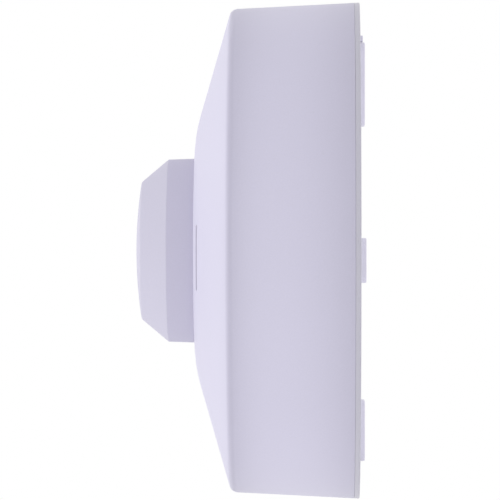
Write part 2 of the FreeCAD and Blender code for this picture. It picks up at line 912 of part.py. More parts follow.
def cover_screws():
    """Long pan-head screws through the cover and both boards into the housing's bosses."""
    screws = []
    head_back = cover_back_depth - screw_head_height
    slot_front = head_back + screw_head_height / 2
    slot_half = screw_slot / 2
    for angle in screw_angles:
        screw = turned(
            [
                (0.0, head_back),
                (screw_head_radius, head_back, screw_head_round),
                (screw_head_radius, cover_back_depth),
                (screw_radius, cover_back_depth),
                (screw_radius, screw_end, screw_radius / 2),
                (0.0, screw_end),
            ]
        )
        slot_back = head_back - over
        slot = bar(-screw_head_radius, screw_head_radius, -slot_half, slot_half, slot_back, slot_front)
        screw = screw.cut(slot)
        x, z = polar(screw_ring_radius, angle)
        screw.translate(V(x, 0, z))
        screws.append(screw)
    return Part.makeCompound(screws)


def trim_pots():
    """Potentiometer bodies, each with the bore that takes its dial's spindle."""
    pots = []
    bore_radius = spindle_radius + spindle_fit
    for angle in dial_angles:
        x, z = polar(dial_ring_radius, angle)
        body = block_at((x, z), (pot_size, pot_size, pot_height), sensor_front)
        top = post(x, z, pot_top_radius, sensor_front + pot_height / 2, pot_front)
        bore = post(x, z, bore_radius, pot_front - pot_bore_depth, pot_front + over)
        pots.append(joined(body, [top]).cut(bore))
    return Part.makeCompound(pots)


def antenna_patches():
    """Copper patches on the front of the sensor board, each with its feed line."""
    patches = []
    for side in (-1, 1):
        middle = side * patch_offset
        patch = block_at((0.0, middle), (patch_size, patch_size, patch_thick), sensor_front)
        feed_middle = side * (patch_offset - patch_size / 2 - feed_length / 2)
        feed = block_at((0.0, feed_middle), (feed_width, feed_length, patch_thick), sensor_front)
        patches.append(joined(patch, [feed]))
    return Part.makeCompound(patches)


def shield_can():
    """Thin metal box over the radio circuit, open towards the board."""
    size = (shield_length, shield_width, shield_height)
    inner = (shield_length - 2 * shield_wall, shield_width - 2 * shield_wall, shield_height)
    place = (0.0, shield_middle)
    box = block_at(place, size, sensor_back - shield_height)
    return box.cut(block_at(place, inner, sensor_back - shield_height + shield_wall))


def microcontroller():
    """Square chip with rows of leads on four sides, behind the sensor board."""
    place = (chip_x, chip_z)
    body = block_at(place, (chip_size, chip_size, chip_height), sensor_back - chip_height)
    row = chip_lead_spacing * (chip_leads - 1)
    reach = chip_size + 2 * chip_lead_reach
    width = chip_lead_width
    leads = []
    for i in range(chip_leads):
        offset = i * chip_lead_spacing - row / 2
        leads.append(block_at((chip_x, chip_z + offset), (reach, width, width), sensor_back - width))
        leads.append(block_at((chip_x + offset, chip_z), (width, reach, width), sensor_back - width))
    return joined(body, leads)


def status_led():
    """Round lamp with a domed tip under the light guide."""
    x, z = guide_place(led_angle)
    dome_base = led_top() - led_radius
    dome = Part.makeSphere(led_radius, V(x, -dome_base, z))
    tip = dome.common(post(x, z, 2 * led_radius, dome_base, dome_base + 2 * led_radius))
    return joined(post(x, z, led_radius, sensor_front, dome_base), [tip])


def light_sensor():
    """Small daylight sensor with a lens under the light guide."""
    place = guide_place(sensor_angle)
    body = block_at(place, (light_sensor_size, light_sensor_size, light_sensor_height), sensor_front)
    lens = Part.makeSphere(light_lens_radius, V(place[0], -(sensor_front + light_sensor_height), place[1]))
    return joined(body, [lens])


def header_places():
    """Centres of the pins that join the boards."""
    row = header_spacing * (header_pin_count - 1)
    return [(header_x, header_z + i * header_spacing - row / 2) for i in range(header_pin_count)]


def pin_header():
    """Plastic strip under the sensor board that carries the pins."""
    length = header_spacing * header_pin_count
    back = sensor_back - header_base_height
    body = block_at((header_x, header_z), (header_width, length, header_base_height), back)
    hole = (header_pin_side, header_pin_side, header_base_height + 2 * over)
    return body.cut([block_at(place, hole, back - over) for place in header_places()])


def header_pins():
    """Square brass pins from the sensor board into the socket."""
    back = power_front + pin_tip_height
    pin = (header_pin_side, header_pin_side, sensor_back - back)
    return Part.makeCompound([block_at(place, pin, back) for place in header_places()])


def board_socket():
    """Socket strip on the power board that the pins enter."""
    length = header_spacing * header_pin_count
    height = board_space - header_base_height - header_socket_gap
    body = block_at((header_x, header_z), (header_width, length, height), power_front)
    side = header_pin_side + 2 * socket_hole_gap
    hole_back = power_front + pin_tip_height / 2
    hole = (side, side, height + over)
    return body.cut([block_at(place, hole, hole_back) for place in header_places()])


def moulded_block(place, size, top_gap):
    """Component with a moulded case: a block with softened edges, under the sensor board."""
    top_depth = sensor_back - top_gap
    case = rounded_plate(*place, *size, moulded_edge, power_front, top_depth)
    top = [edge for edge in case.Edges if edge.BoundBox.YMax < tiny - top_depth]
    return case.makeChamfer(moulded_edge / 2, top)


def smoothing_capacitor():
    """Lying electrolytic can with the groove near its sealed end."""
    x, z = electrolytic_place
    half = electrolytic_length / 2
    radius = (board_space - electrolytic_top_gap - round_part_gap) / 2
    groove = electrolytic_groove
    groove_middle = half - 3 * groove
    can = outline(
        [
            (-half, 0.0),
            (-half, radius, groove),
            (groove_middle - groove, radius),
            (groove_middle, radius - groove),
            (groove_middle + groove, radius),
            (half, radius, groove),
            (half, 0.0),
        ]
    )
    solid = upright(Part.Face(can).revolve(origin, V(1, 0, 0), 360))
    solid.translate(V(x, -(power_front + radius + round_part_gap), z))
    return solid


def line_choke():
    """Drum core with its winding in the waist."""
    x, z = choke_place
    top = sensor_back - choke_top_gap
    solid = turned(
        [
            (0.0, power_front),
            (choke_radius, power_front),
            (choke_radius, power_front + choke_flange),
            (choke_waist, power_front + choke_flange),
            (choke_waist, top - choke_flange),
            (choke_radius, top - choke_flange),
            (choke_radius, top),
            (0.0, top),
        ]
    )
    solid.translate(V(x, 0, z))
    return solid


def surge_varistor():
    """Upright disc on two leads."""
    x, z = varistor_place
    radius = (board_space - varistor_top_gap - varistor_lift) / 2
    middle = power_front + varistor_lift + radius
    disc = Part.makeCylinder(radius, varistor_thick, V(x - varistor_thick / 2, -middle, z), V(1, 0, 0))
    rim = [edge for edge in disc.Edges if edge.Closed]
    disc = disc.makeFillet(varistor_thick / 4, rim)
    leads = [post(x, z + side * radius / 2, lead_radius, power_front, middle) for side in (-1, 1)]
    return joined(disc, leads)


def fuse_resistor():
    """Lying resistor on one bent wire whose ends stand on the board."""
    x, z = fuse_place
    middle = power_front + fuse_lift + fuse_radius
    half = fuse_length / 2
    wire_end = half + fuse_lead_reach
    path = outline(
        [
            (-wire_end, power_front),
            (-wire_end, middle, lead_bend),
            (wire_end, middle, lead_bend),
            (wire_end, power_front),
        ]
    )
    bent = Part.Wire(path.Edges[:-1])
    section = Part.Wire(Part.makeCircle(lead_radius, V(-wire_end, -power_front, 0), front))
    wire = upright(bent.makePipeShell([section], True, False))
    body = Part.makeCylinder(fuse_radius, fuse_length, V(-half, -middle, 0), V(1, 0, 0))
    solid = joined(body, [wire])
    solid.translate(V(x, 0, z))
    return solid


def bridge_rectifier():
    """Flat rectifier with four leads."""
    x, z = bridge_place
    width = bridge_lead_width
    lift = width / 2
    body = block_at(bridge_place, bridge_size, power_front + lift)
    reach_x = (bridge_size[0] - width) / 2
    reach_z = bridge_lead_spacing / 2
    lead = (width, width, bridge_size[2] / 2 + lift)
    places = [(x + i * reach_x, z + j * reach_z) for i in (-1, 1) for j in (-1, 1)]
    return joined(body, [block_at(place, lead, power_front) for place in places])


def all_parts():
    """Every piece by its name."""
    parts = {
        "base_plate": base_plate(),
        "cable_grommet": cable_grommet(),
        "terminal_block": terminal_block(),
        "contact_strips": contact_strips(),
        "wire_clamps": wire_clamps(),
        "clamp_screws": clamp_screws(),
        "front_housing": front_housing(),
        "light_window": light_window(),
        "sensor_board": board(sensor_board_radius, sensor_back),
        "antenna_patches": antenna_patches(),
        "shield_can": shield_can(),
        "microcontroller": microcontroller(),
        "trim_pots": trim_pots(),
        "status_led": status_led(),
        "light_sensor": light_sensor(),
        "pin_header": pin_header(),
        "header_pins": header_pins(),
        "board_socket": board_socket(),
        "board_spacers": board_spacers(),
        "power_board": board(power_board_radius, power_back),
        "relay": moulded_block(relay_place, relay_size, relay_top_gap),
        "suppression_capacitor": moulded_block(
            film_capacitor_place, film_capacitor_size, film_capacitor_top_gap
        ),
        "smoothing_capacitor": smoothing_capacitor(),
        "line_choke": line_choke(),
        "surge_varistor": surge_varistor(),
        "fuse_resistor": fuse_resistor(),
        "bridge_rectifier": bridge_rectifier(),
        "contact_blades": contact_blades(),
        "head_cover": head_cover(),
        "cover_screws": cover_screws(),
        "centre_cap": centre_cap(),
    }
    for name, angle in zip(dial_names, dial_angles):
        parts[name] = dial(angle)
    return parts


os.makedirs("parts", exist_ok=True)
for name, shape in all_parts().items():
    shape.exportStep("parts/" + name + ".step")
    print(name, "solids", len(shape.Solids), "valid", shape.isValid(), "volume", round(shape.Volume, 2))
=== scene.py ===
import bmesh
import bpy
import json
import math
from mathutils import Matrix, Vector


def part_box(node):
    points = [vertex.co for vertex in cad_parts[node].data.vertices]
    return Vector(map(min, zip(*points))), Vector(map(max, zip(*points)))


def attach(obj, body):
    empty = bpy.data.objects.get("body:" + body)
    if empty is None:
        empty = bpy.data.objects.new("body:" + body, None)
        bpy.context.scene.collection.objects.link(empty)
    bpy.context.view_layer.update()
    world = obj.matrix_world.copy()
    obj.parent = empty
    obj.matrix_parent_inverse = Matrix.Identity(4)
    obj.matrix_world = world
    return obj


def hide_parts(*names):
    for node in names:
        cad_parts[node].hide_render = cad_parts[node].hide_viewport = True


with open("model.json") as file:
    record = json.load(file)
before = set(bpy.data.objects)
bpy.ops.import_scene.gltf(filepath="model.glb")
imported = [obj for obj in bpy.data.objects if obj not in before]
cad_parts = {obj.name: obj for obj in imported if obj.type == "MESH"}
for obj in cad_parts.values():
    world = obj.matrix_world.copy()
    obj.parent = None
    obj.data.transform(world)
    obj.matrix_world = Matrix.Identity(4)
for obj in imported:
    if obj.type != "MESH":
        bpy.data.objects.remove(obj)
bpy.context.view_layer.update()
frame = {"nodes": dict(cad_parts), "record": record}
scene = bpy.context.scene
mm = 0.001
# merge is in metres, leastGap in mm, and the bends are in radians for each mm between face centres
edgeLook = {"merge": 1e-7, "leastGap": 0.02, "bendFrom": 0.3, "bendSpan": 1.5, "sharpAngle": 32.0}
nodeSlot = {part["node"]: part["material_slot"] for part in frame["record"]["subparts"]}
print("frame loaded,", len(frame["nodes"]), "nodes")


# Outlines are corners (radius, depth) or (x, z) in mm, and a third value rounds a corner.
# Depth is the distance in front of the wall.

def roundedPath(corners, closed=True, step=7.0, hold=0.3):
    points = []
    for i, corner in enumerate(corners):
        here = Vector(corner[:2])
        if len(corner) < 3 or (not closed and i in (0, len(corners) - 1)):
            points.append(here)
            continue
        back = Vector(corners[i - 1][:2]) - here
        ahead = Vector(corners[(i + 1) % len(corners)][:2]) - here
        half = back.angle(ahead) / 2
        reach = min(corner[2] / math.tan(half), back.length / 2, ahead.length / 2)
        back.normalize()
        ahead.normalize()
        centre = here + (back + ahead).normalized() * (reach / math.cos(half))
        start = here + back * reach - centre
        end = here + ahead * reach - centre
        swing = math.pi - 2 * half
        if start.x * end.y - start.y * end.x < 0:
            swing = -swing
        steps = max(2, round(abs(math.degrees(swing)) / step))
        for k in range(steps + 1):
            points.append(centre + Matrix.Rotation(swing * k / steps, 2) @ start)
    held = []  # short rows beside each bend keep the long faces evenly shaded
    pairs = list(zip(points, points[1:] + points[:1]))
    for here, following in pairs if closed else pairs[:-1]:
        run = following - here
        held.append(here)
        if run.length > 4 * hold:
            held += [here + run.normalized() * hold, following - run.normalized() * hold]
    return held if closed else held + [points[-1]]


def insetPath(path, thick):
    # the open path moved inwards: its first point keeps its depth and its last its radius
    lines = []
    for here, following in zip(path, path[1:]):
        along = (Vector(following) - Vector(here)).normalized()
        lines.append((Vector(here) + Vector((-along.y, along.x)) * thick, along))
    root, along = lines[0]
    moved = [root + along * ((path[0][1] - root.y) / along.y)]
    for (p, u), (q, w) in zip(lines, lines[1:]):
        shift = ((q.x - p.x) * w.y - (q.y - p.y) * w.x) / (u.x * w.y - u.y * w.x)
        moved.append(p + u * shift)
    root, along = lines[-1]
    moved.append(root + along * ((path[-1][0] - root.x) / along.x))
    return [tuple(point) for point in moved]


def addRows(points, radii):
    # rows at these radii, so that a cut can follow them
    rowed = [points[0]]
    for here, following in zip(points, points[1:]):
        low, high = sorted((here.x, following.x))
        crossing = sorted((r for r in radii if low < r < high), reverse=here.x > following.x)
        for radius in crossing:
            rowed.append(here.lerp(following, (radius - here.x) / (following.x - here.x)))
        rowed.append(following)
    return rowed


def polar(radius, angle):
    return radius * math.cos(math.radians(angle)), radius * math.sin(math.radians(angle))


def meshFrom(bm, name):
    mesh = bpy.data.meshes.new(name)
    bm.to_mesh(mesh)
    bm.free()
    return mesh


def addObject(name, data):
    thing = bpy.data.objects.new(name, data)
    scene.collection.objects.link(thing)
    return thing


def newTree(kind, name, inputs, outputs):
    tree = bpy.data.node_groups.new(name, kind)
    for label, sort, value in inputs:
        socket = tree.interface.new_socket(label, in_out="INPUT", socket_type="NodeSocket" + sort)
        if value is not None:
            socket.default_value = value
    for label, sort in outputs:
        tree.interface.new_socket(label, in_out="OUTPUT", socket_type="NodeSocket" + sort)
    return tree, tree.nodes.new("NodeGroupInput").outputs, tree.nodes.new("NodeGroupOutput")


def feed(tree, node, values):
    # each input named here takes another node's output, or a plain value
    for label, value in values.items():
        if isinstance(value, bpy.types.NodeSocket):
            tree.links.new(value, node.inputs[label])
        elif value is not None:
            node.inputs[label].default_value = value
    return node


def addNode(tree, kind, values={}, **settings):
    node = tree.nodes.new(kind)
    for label, setting in settings.items():
        setattr(node, label, setting)
    return feed(tree, node, values)


def mathNode(tree, operation, a, b=None):
    return addNode(tree, "ShaderNodeMath", {0: a, 1: b}, operation=operation).outputs[0]


# Geometry Nodes: one tree turns an outline about the axis, the other repeats a piece round it

def geometryTree(name, inputs):
    inputs = [("Geometry", "Geometry", None)] + inputs + [("Material", "Material", None)]
    return newTree("GeometryNodeTree", name, inputs, [("Geometry", "Geometry")])


def endTree(tree, given, made, last):
    real = addNode(tree, "GeometryNodeRealizeInstances", {"Geometry": last.outputs[0]})
    paint = addNode(tree, "GeometryNodeSetMaterial", {
        "Geometry": real.outputs[0],
        "Material": given["Material"],
    })
    feed(tree, made, {"Geometry": paint.outputs[0]})
    return tree


def turnTree():
    tree, given, made = geometryTree("turn outline", [
        ("Steps", "Int", 256),
        ("Start Angle", "Float", 0.0),
        ("Sweep", "Float", math.tau),
        ("Whole Turn", "Bool", True),
        ("Path Radius", "Float", 0.05),
    ])
    outline = addNode(tree, "GeometryNodeMeshToCurve", {"Mesh": given["Geometry"]})
    shift = addNode(tree, "ShaderNodeCombineXYZ", {
        "X": mathNode(tree, "MULTIPLY", given["Path Radius"], -1.0),
    })
    profile = addNode(tree, "GeometryNodeTransform", {
        "Geometry": outline.outputs[0],
        "Translation": shift.outputs[0],
    })
    circle = addNode(tree, "GeometryNodeCurvePrimitiveCircle", {
        "Resolution": given["Steps"],
        "Radius": given["Path Radius"],
    }, mode="RADIUS")
    arc = addNode(tree, "GeometryNodeCurveArc", {
        "Resolution": mathNode(tree, "ADD", given["Steps"], 1),
        "Radius": given["Path Radius"],
        "Start Angle": given["Start Angle"],
        "Sweep Angle": given["Sweep"],
    }, mode="RADIUS")
    path = addNode(tree, "GeometryNodeSwitch", {
        "Switch": given["Whole Turn"],
        "False": arc.outputs["Curve"],
        "True": circle.outputs["Curve"],
    }, input_type="GEOMETRY")
    partTurn = addNode(tree, "FunctionNodeBooleanMath", {0: given["Whole Turn"]}, operation="NOT")
    sweep = addNode(tree, "GeometryNodeCurveToMesh", {
        "Curve": path.outputs[0],
        "Profile Curve": profile.outputs[0],
        "Fill Caps": partTurn.outputs[0],
    })
    stand = addNode(tree, "GeometryNodeTransform", {
        "Geometry": sweep.outputs[0],
        "Rotation": (math.pi / 2, 0, 0),
    })
    close = addNode(tree, "GeometryNodeMergeByDistance", {
        "Geometry": stand.outputs[0],
        "Distance": 2 * edgeLook["merge"],
    })
    return endTree(tree, given, made, close)


def repeatTree():
    tree, given, made = geometryTree("repeat round axis", [
        ("Count", "Int", 3),
        ("First Angle", "Float", 0.0),
    ])
    spots = addNode(tree, "GeometryNodePoints", {"Count": given["Count"]})
    index = addNode(tree, "GeometryNodeInputIndex").outputs[0]
    pitch = mathNode(tree, "DIVIDE", -math.tau, given["Count"])
    first = mathNode(tree, "MULTIPLY", given["First Angle"], -1.0)
    spin = addNode(tree, "ShaderNodeCombineXYZ", {
        "Y": mathNode(tree, "ADD", mathNode(tree, "MULTIPLY", index, pitch), first),
    })
    turn = addNode(tree, "FunctionNodeEulerToRotation", {0: spin.outputs[0]})
    copies = addNode(tree, "GeometryNodeInstanceOnPoints", {
        "Points": spots.outputs[0],
        "Instance": given["Geometry"],
        "Rotation": turn.outputs[0],
    })
    return endTree(tree, given, made, copies)


def runTree(tree, mesh, values):
    holder = addObject("holder", mesh)
    modifier = holder.modifiers.new(tree.name, "NODES")
    modifier.node_group = tree
    for item in tree.interface.items_tree:
        if item.item_type == "SOCKET" and item.in_out == "INPUT" and item.name in values:
            modifier[item.identifier] = values[item.name]
    graph = bpy.context.evaluated_depsgraph_get()
    result = bpy.data.meshes.new_from_object(holder.evaluated_get(graph), depsgraph=graph)
    holder.modifiers.remove(modifier)
    bpy.data.objects.remove(holder)
    bpy.data.meshes.remove(mesh)
    return result


turnOutline = turnTree()
repeatRound = repeatTree()


def outlineMesh(points, closed):
    mesh = bpy.data.meshes.new("outline")
    edges = [(i, i + 1) for i in range(len(points) - 1)]
    if closed:
        edges.append((len(points) - 1, 0))
    mesh.from_pydata([(p[0] * mm, -p[1] * mm, 0) for p in points], edges, [])
    return mesh


def turned(points, material, closed=True, steps=256, start=0.0, sweep=360.0, at=(0.0, 0.0)):
    mesh = runTree(turnOutline, outlineMesh(points, closed), {
        "Steps": steps,
        "Start Angle": math.radians(start),
        "Sweep": math.radians(sweep),
        "Whole Turn": sweep >= 360.0,
        "Material": material,
    })
    mesh.transform(Matrix.Translation((at[0] * mm, 0, at[1] * mm)))
    return mesh


def repeated(mesh, material, count, firstAngle):
    return runTree(repeatRound, mesh, {
        "Count": count,
        "First Angle": math.radians(firstAngle),
        "Material": material,
    })


def oblong(inner, outer, back, front):
    return [(inner, back), (outer, back), (outer, front), (inner, front)]


def ringBand(inner, outer, back, front, soft=0.15):
    return roundedPath([corner + (soft,) for corner in oblong(inner, outer, back, front)])


def block(corners, width, soft=0.1):
    # a flat piece: corners (radius, depth) as wide as the width, lying along +X
    bm = bmesh.new()
    half = width / 2
    low = [bm.verts.new((r * mm, -d * mm, -half * mm)) for r, d in corners]
    high = [bm.verts.new((r * mm, -d * mm, half * mm)) for r, d in corners]
    bm.faces.new(low)
    bm.faces.new(high[::-1])
    for i in range(len(corners)):
        k = (i + 1) % len(corners)
        bm.faces.new((low[k], low[i], high[i], high[k]))
    bmesh.ops.recalc_face_normals(bm, faces=bm.faces)
    bmesh.ops.bevel(bm, geom=bm.edges[:], offset=soft * mm, segments=2, profile=0.5, affect="EDGES")
    return meshFrom(bm, "block")


def roundRect(x, z, length, height, rounding):
    def shape(inset):
        a, b = length / 2 - inset, height / 2 - inset
        corners = [(x - a, z - b), (x + a, z - b), (x + a, z + b), (x - a, z + b)]
        return roundedPath([c + (rounding - inset,) for c in corners], hold=9.0)
    return shape


def roundShape(x, z, radius, steps=64):
    def shape(inset):
        return [
            Vector((x + (radius - inset) * math.cos(i * math.tau / steps),
                    z + (radius - inset) * math.sin(i * math.tau / steps)))
            for i in range(steps)
        ]
    return shape


softRows = ((0.0, 1.0), (0.3, 0.3), (1.0, 0.0))  # how deep and how far drawn in, as shares of the softness


def plate(outer, holes, back, front, softBack=0.0, softFront=0.0):
    # plate between two depths; each outline is a function of how far it is drawn in
    levels = []
    for end, soft, way in ((back, softBack, 1), (front, softFront, -1)):
        rows = [(end + way * soft * deep, soft * drawn) for deep, drawn in softRows] if soft else [(end, 0.0)]
        levels += rows[::way]
    bm = bmesh.new()
    ends = ([], [])
    for shape, way in [(outer, 1)] + [(hole, -1) for hole in holes]:
        loops = []
        for depth, inset in levels:
            loops.append([bm.verts.new((p.x * mm, -depth * mm, p.y * mm)) for p in shape(way * inset)])
        for one, other in zip(loops, loops[1:]):
            for i in range(len(one)):
                k = (i + 1) % len(one)
                bm.faces.new((one[i], one[k], other[k], other[i]))
        for edges, loop in zip(ends, (loops[0], loops[-1])):
            edges += [bm.edges.get((loop[i - 1], loop[i])) for i in range(len(loop))]
    for edges in ends:
        bmesh.ops.triangle_fill(bm, use_beauty=True, use_dissolve=False, edges=edges)
    bmesh.ops.recalc_face_normals(bm, faces=bm.faces)
    return meshFrom(bm, "plate")


def gather(name, parts, body, slot, nodes, finish=None):
    # one object from several closed meshes, with how sharply each point bends kept as "edge"
    bm = bmesh.new()
    for part in parts:
        piece = bmesh.new()
        piece.from_mesh(part)
        bmesh.ops.remove_doubles(piece, verts=piece.verts, dist=edgeLook["merge"])
        loose = [edge for edge in piece.edges if not edge.link_faces]
        bmesh.ops.delete(piece, geom=loose, context="EDGES")
        bmesh.ops.recalc_face_normals(piece, faces=piece.faces)
        piece.to_mesh(part)
        piece.free()
        bm.from_mesh(part)
        bpy.data.meshes.remove(part)
    layer = bm.verts.layers.float.new("edge")
    for edge in bm.edges:
        if len(edge.link_faces) != 2:
            continue
        one, other = edge.link_faces
        gap = (one.calc_center_median() - other.calc_center_median()).length / mm
        bend = edge.calc_face_angle(0.0) / max(gap, edgeLook["leastGap"])
        strength = min(1.0, max(0.0, (bend - edgeLook["bendFrom"]) / edgeLook["bendSpan"]))
        for vert in edge.verts:
            vert[layer] = max(vert[layer], strength)
    mesh = meshFrom(bm, name)
    mesh.shade_smooth()
    mesh.set_sharp_from_angle(angle=math.radians(edgeLook["sharpAngle"]))
    mesh.materials.clear()
    mesh.materials.append(finish or finishes[slot])
    piece = addObject(name, mesh)
    level = piece.modifiers.new("level faces", "WEIGHTED_NORMAL")  # keeps flat faces flat beside soft edges
    level.keep_sharp = True
    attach(piece, body)
    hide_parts(*nodes)
    print("made", name, "with", len(mesh.polygons), "faces")


# Shader groups that several finishes share

def newGroup(name, settings, height=False):
    # every group takes a colour and a roughness and hands both on
    settings = {"Colour": (0.5, 0.5, 0.5, 1), "Roughness": 0.45, **settings}
    inputs = [(label, "Color" if isinstance(value, tuple) else "Float", value)
              for label, value in settings.items()]
    outputs = [("Colour", "Color"), ("Roughness", "Float")] + [("Height", "Float")] * height
    group, given, made = newTree("ShaderNodeTree", name, inputs, outputs)
    return group, given, made, addNode(group, "ShaderNodeTexCoord").outputs["Object"]


def facing(tree, kind):
    normal = addNode(tree, "ShaderNodeNewGeometry").outputs[kind]
    return addNode(tree, "ShaderNodeSeparateXYZ", {0: normal}).outputs


def noiseNode(tree, vector, scale, detail, roughness=0.5):
    return addNode(tree, "ShaderNodeTexNoise", {
        "Vector": vector, "Scale": scale, "Detail": detail, "Roughness": roughness,
    }).outputs[0]


def rangeNode(tree, value, fromLow, fromHigh, toLow=0.0, toHigh=1.0):
    return addNode(tree, "ShaderNodeMapRange", {
        "Value": value, "From Min": fromLow, "From Max": fromHigh, "To Min": toLow, "To Max": toHigh,
    }, interpolation_type="SMOOTHSTEP").outputs["Result"]


def mixColour(tree, factor, one, other):
    return addNode(tree, "ShaderNodeMix", {"Factor": factor, 6: one, 7: other}, data_type="RGBA").outputs[2]


def brighten(tree, colour, factor):
    return addNode(tree, "ShaderNodeVectorMath", {0: colour, "Scale": factor}, operation="SCALE").outputs[0]


def mouldedGroup():
    # spark-eroded moulding skin: a fine grain, and slow drifts of shade and gloss
    group, given, made, place = newGroup("moulded skin", {
        "Grain Scale": 2600.0, "Grain Shade": 0.07, "Drift Scale": 38.0, "Shade Drift": 0.03,
        "Gloss Drift": 0.1,
    }, height=True)
    grain = noiseNode(group, place, given["Grain Scale"], 3.0, 0.6)
    slow = noiseNode(group, place, given["Drift Scale"], 3.0)
    wander = mathNode(group, "SUBTRACT", slow, 0.5)
    shade = mathNode(group, "MULTIPLY", wander, given["Shade Drift"])
    speck = mathNode(group, "MULTIPLY", mathNode(group, "SUBTRACT", grain, 0.5), given["Grain Shade"])
    factor = mathNode(group, "ADD", mathNode(group, "ADD", shade, speck), 1.0)
    gloss = mathNode(group, "MULTIPLY", wander, given["Gloss Drift"])
    feed(group, made, {
        "Colour": brighten(group, given["Colour"], factor),
        "Roughness": mathNode(group, "ADD", given["Roughness"], gloss),
        "Height": grain,
    })
    return group


def wearGroup():
    # handled edges are a little paler and smoother
    group, given, made, place = newGroup("edge wear", {
        "Worn Colour": (0.9, 0.9, 0.9, 1), "Amount": 0.3, "Patch Scale": 160.0, "Polish": 0.4,
    })
    edge = addNode(group, "ShaderNodeAttribute", attribute_name="edge")
    patches = rangeNode(group, noiseNode(group, place, given["Patch Scale"], 4.0), 0.35, 0.65, 0.25, 1.0)
    handled = mathNode(group, "MULTIPLY", edge.outputs["Fac"], patches)
    mask = mathNode(group, "MULTIPLY", handled, given["Amount"])
    smooth = mathNode(group, "SUBTRACT", 1.0, mathNode(group, "MULTIPLY", mask, given["Polish"]))
    feed(group, made, {
        "Colour": mixColour(group, mask, given["Colour"], given["Worn Colour"]),
        "Roughness": mathNode(group, "MULTIPLY", given["Roughness"], smooth),
    })
    return group


def dustGroup():
    # sparse specks and a thin film that gathers on what faces up
    group, given, made, place = newGroup("dust film", {
        "Dust Colour": (0.42, 0.40, 0.37, 1), "Amount": 0.1, "Speck Scale": 900.0, "Film Scale": 70.0,
        "Dulling": 0.5,
    })
    up = rangeNode(group, facing(group, "Normal")["Z"], -0.2, 1.0, 0.35, 1.0)
    specks = rangeNode(group, noiseNode(group, place, given["Speck Scale"], 2.0), 0.68, 0.76)
    film = rangeNode(group, noiseNode(group, place, given["Film Scale"], 5.0, 0.6), 0.4, 0.8, 0.0, 0.35)
    cover = mathNode(group, "MAXIMUM", specks, film)
    mask = mathNode(group, "MULTIPLY", mathNode(group, "MULTIPLY", cover, up), given["Amount"])
    dull = mathNode(group, "MULTIPLY", mask, given["Dulling"])
    feed(group, made, {
        "Colour": mixColour(group, mask, given["Colour"], given["Dust Colour"]),
        "Roughness": mathNode(group, "ADD", given["Roughness"], dull),
    })
    return group


def rolledGroup():
    # drawn or rolled metal: fine lines along one direction
    group, given, made, place = newGroup("rolled metal", {
        "Line Scale": 4000.0, "Stain Scale": 240.0, "Tarnish": 0.2, "Gloss Spread": 0.12,
    }, height=True)
    stretch = addNode(group, "ShaderNodeMapping", {"Vector": place, "Scale": (0.04, 1.0, 1.0)})
    lines = noiseNode(group, stretch.outputs[0], given["Line Scale"], 2.0)
    stains = rangeNode(group, noiseNode(group, place, given["Stain Scale"], 5.0, 0.6), 0.4, 0.75)
    shade = mathNode(group, "SUBTRACT", 1.0, mathNode(group, "MULTIPLY", stains, given["Tarnish"]))
    spread = mathNode(group, "MULTIPLY", mathNode(group, "ADD", lines, stains), given["Gloss Spread"])
    feed(group, made, {
        "Colour": brighten(group, given["Colour"], shade),
        "Roughness": mathNode(group, "ADD", given["Roughness"], spread),
        "Height": lines,
    })
    return group


mouldedSkin, edgeWear, dustFilm, rolledMetal = mouldedGroup(), wearGroup(), dustGroup(), rolledGroup()


def useGroup(tree, group, values, last=None):
    # last is the group before this one, which hands on its colour and roughness
    node = addNode(tree, "ShaderNodeGroup", node_tree=group)
    if last:
        feed(tree, node, {label: last.outputs[label] for label in ("Colour", "Roughness")})
    return feed(tree, node, values)


def newFinish(name):
    finish = bpy.data.materials.new(name)
    finish.use_nodes = True
    tree = finish.node_tree
    shader = next(node for node in tree.nodes if node.type == "BSDF_PRINCIPLED")
    return finish, tree, shader


def coverShader(tree, shader, last, height, strength, depth):
    bump = addNode(tree, "ShaderNodeBump", {"Strength": strength, "Distance": depth, "Height": height})
    feed(tree, shader, {
        "Base Color": last.outputs["Colour"],
        "Roughness": last.outputs["Roughness"],
        "Normal": bump.outputs["Normal"],
    })


def opaque(colour):
    return (*colour, 1.0)


def mouldedFinish(name, colour, roughness, grainScale=2600.0, grainDepth=0.00002, worn=None, wear=0.0,
                  dust=0.05, clearCoat=0.0, ior=1.5):
    finish, tree, shader = newFinish(name)
    skin = useGroup(tree, mouldedSkin, {
        "Colour": opaque(colour), "Roughness": roughness, "Grain Scale": grainScale,
    })
    last = skin
    if worn:
        last = useGroup(tree, edgeWear, {"Worn Colour": opaque(worn), "Amount": wear}, last)
    last = useGroup(tree, dustFilm, {"Amount": dust}, last)
    feed(tree, shader, {"IOR": ior, "Coat Weight": clearCoat, "Coat Roughness": 0.15})
    coverShader(tree, shader, last, skin.outputs["Height"], 0.35, grainDepth)
    return finish


def shellFinish(name, colour, roughness):
    return mouldedFinish(name, colour, roughness, grainDepth=shell["grainDepth"], worn=shell["worn"],
                         wear=shell["wear"], dust=shell["dust"])


def metalFinish(name, colour, roughness, lineScale=4000.0, tarnish=0.2):
    finish, tree, shader = newFinish(name)
    metal = useGroup(tree, rolledMetal, {
        "Colour": opaque(colour), "Roughness": roughness, "Line Scale": lineScale, "Tarnish": tarnish,
    })
    dusty = useGroup(tree, dustFilm, {"Amount": 0.05}, metal)
    feed(tree, shader, {"Metallic": 1.0})
    coverShader(tree, shader, dusty, metal.outputs["Height"], 0.2, 0.00001)
    return finish


trackPattern = {"Scale": 110.0, "Mortar Size": 0.035, "Mortar Smooth": 0.2, "Brick Width": 0.9,
                "Row Height": 0.24}


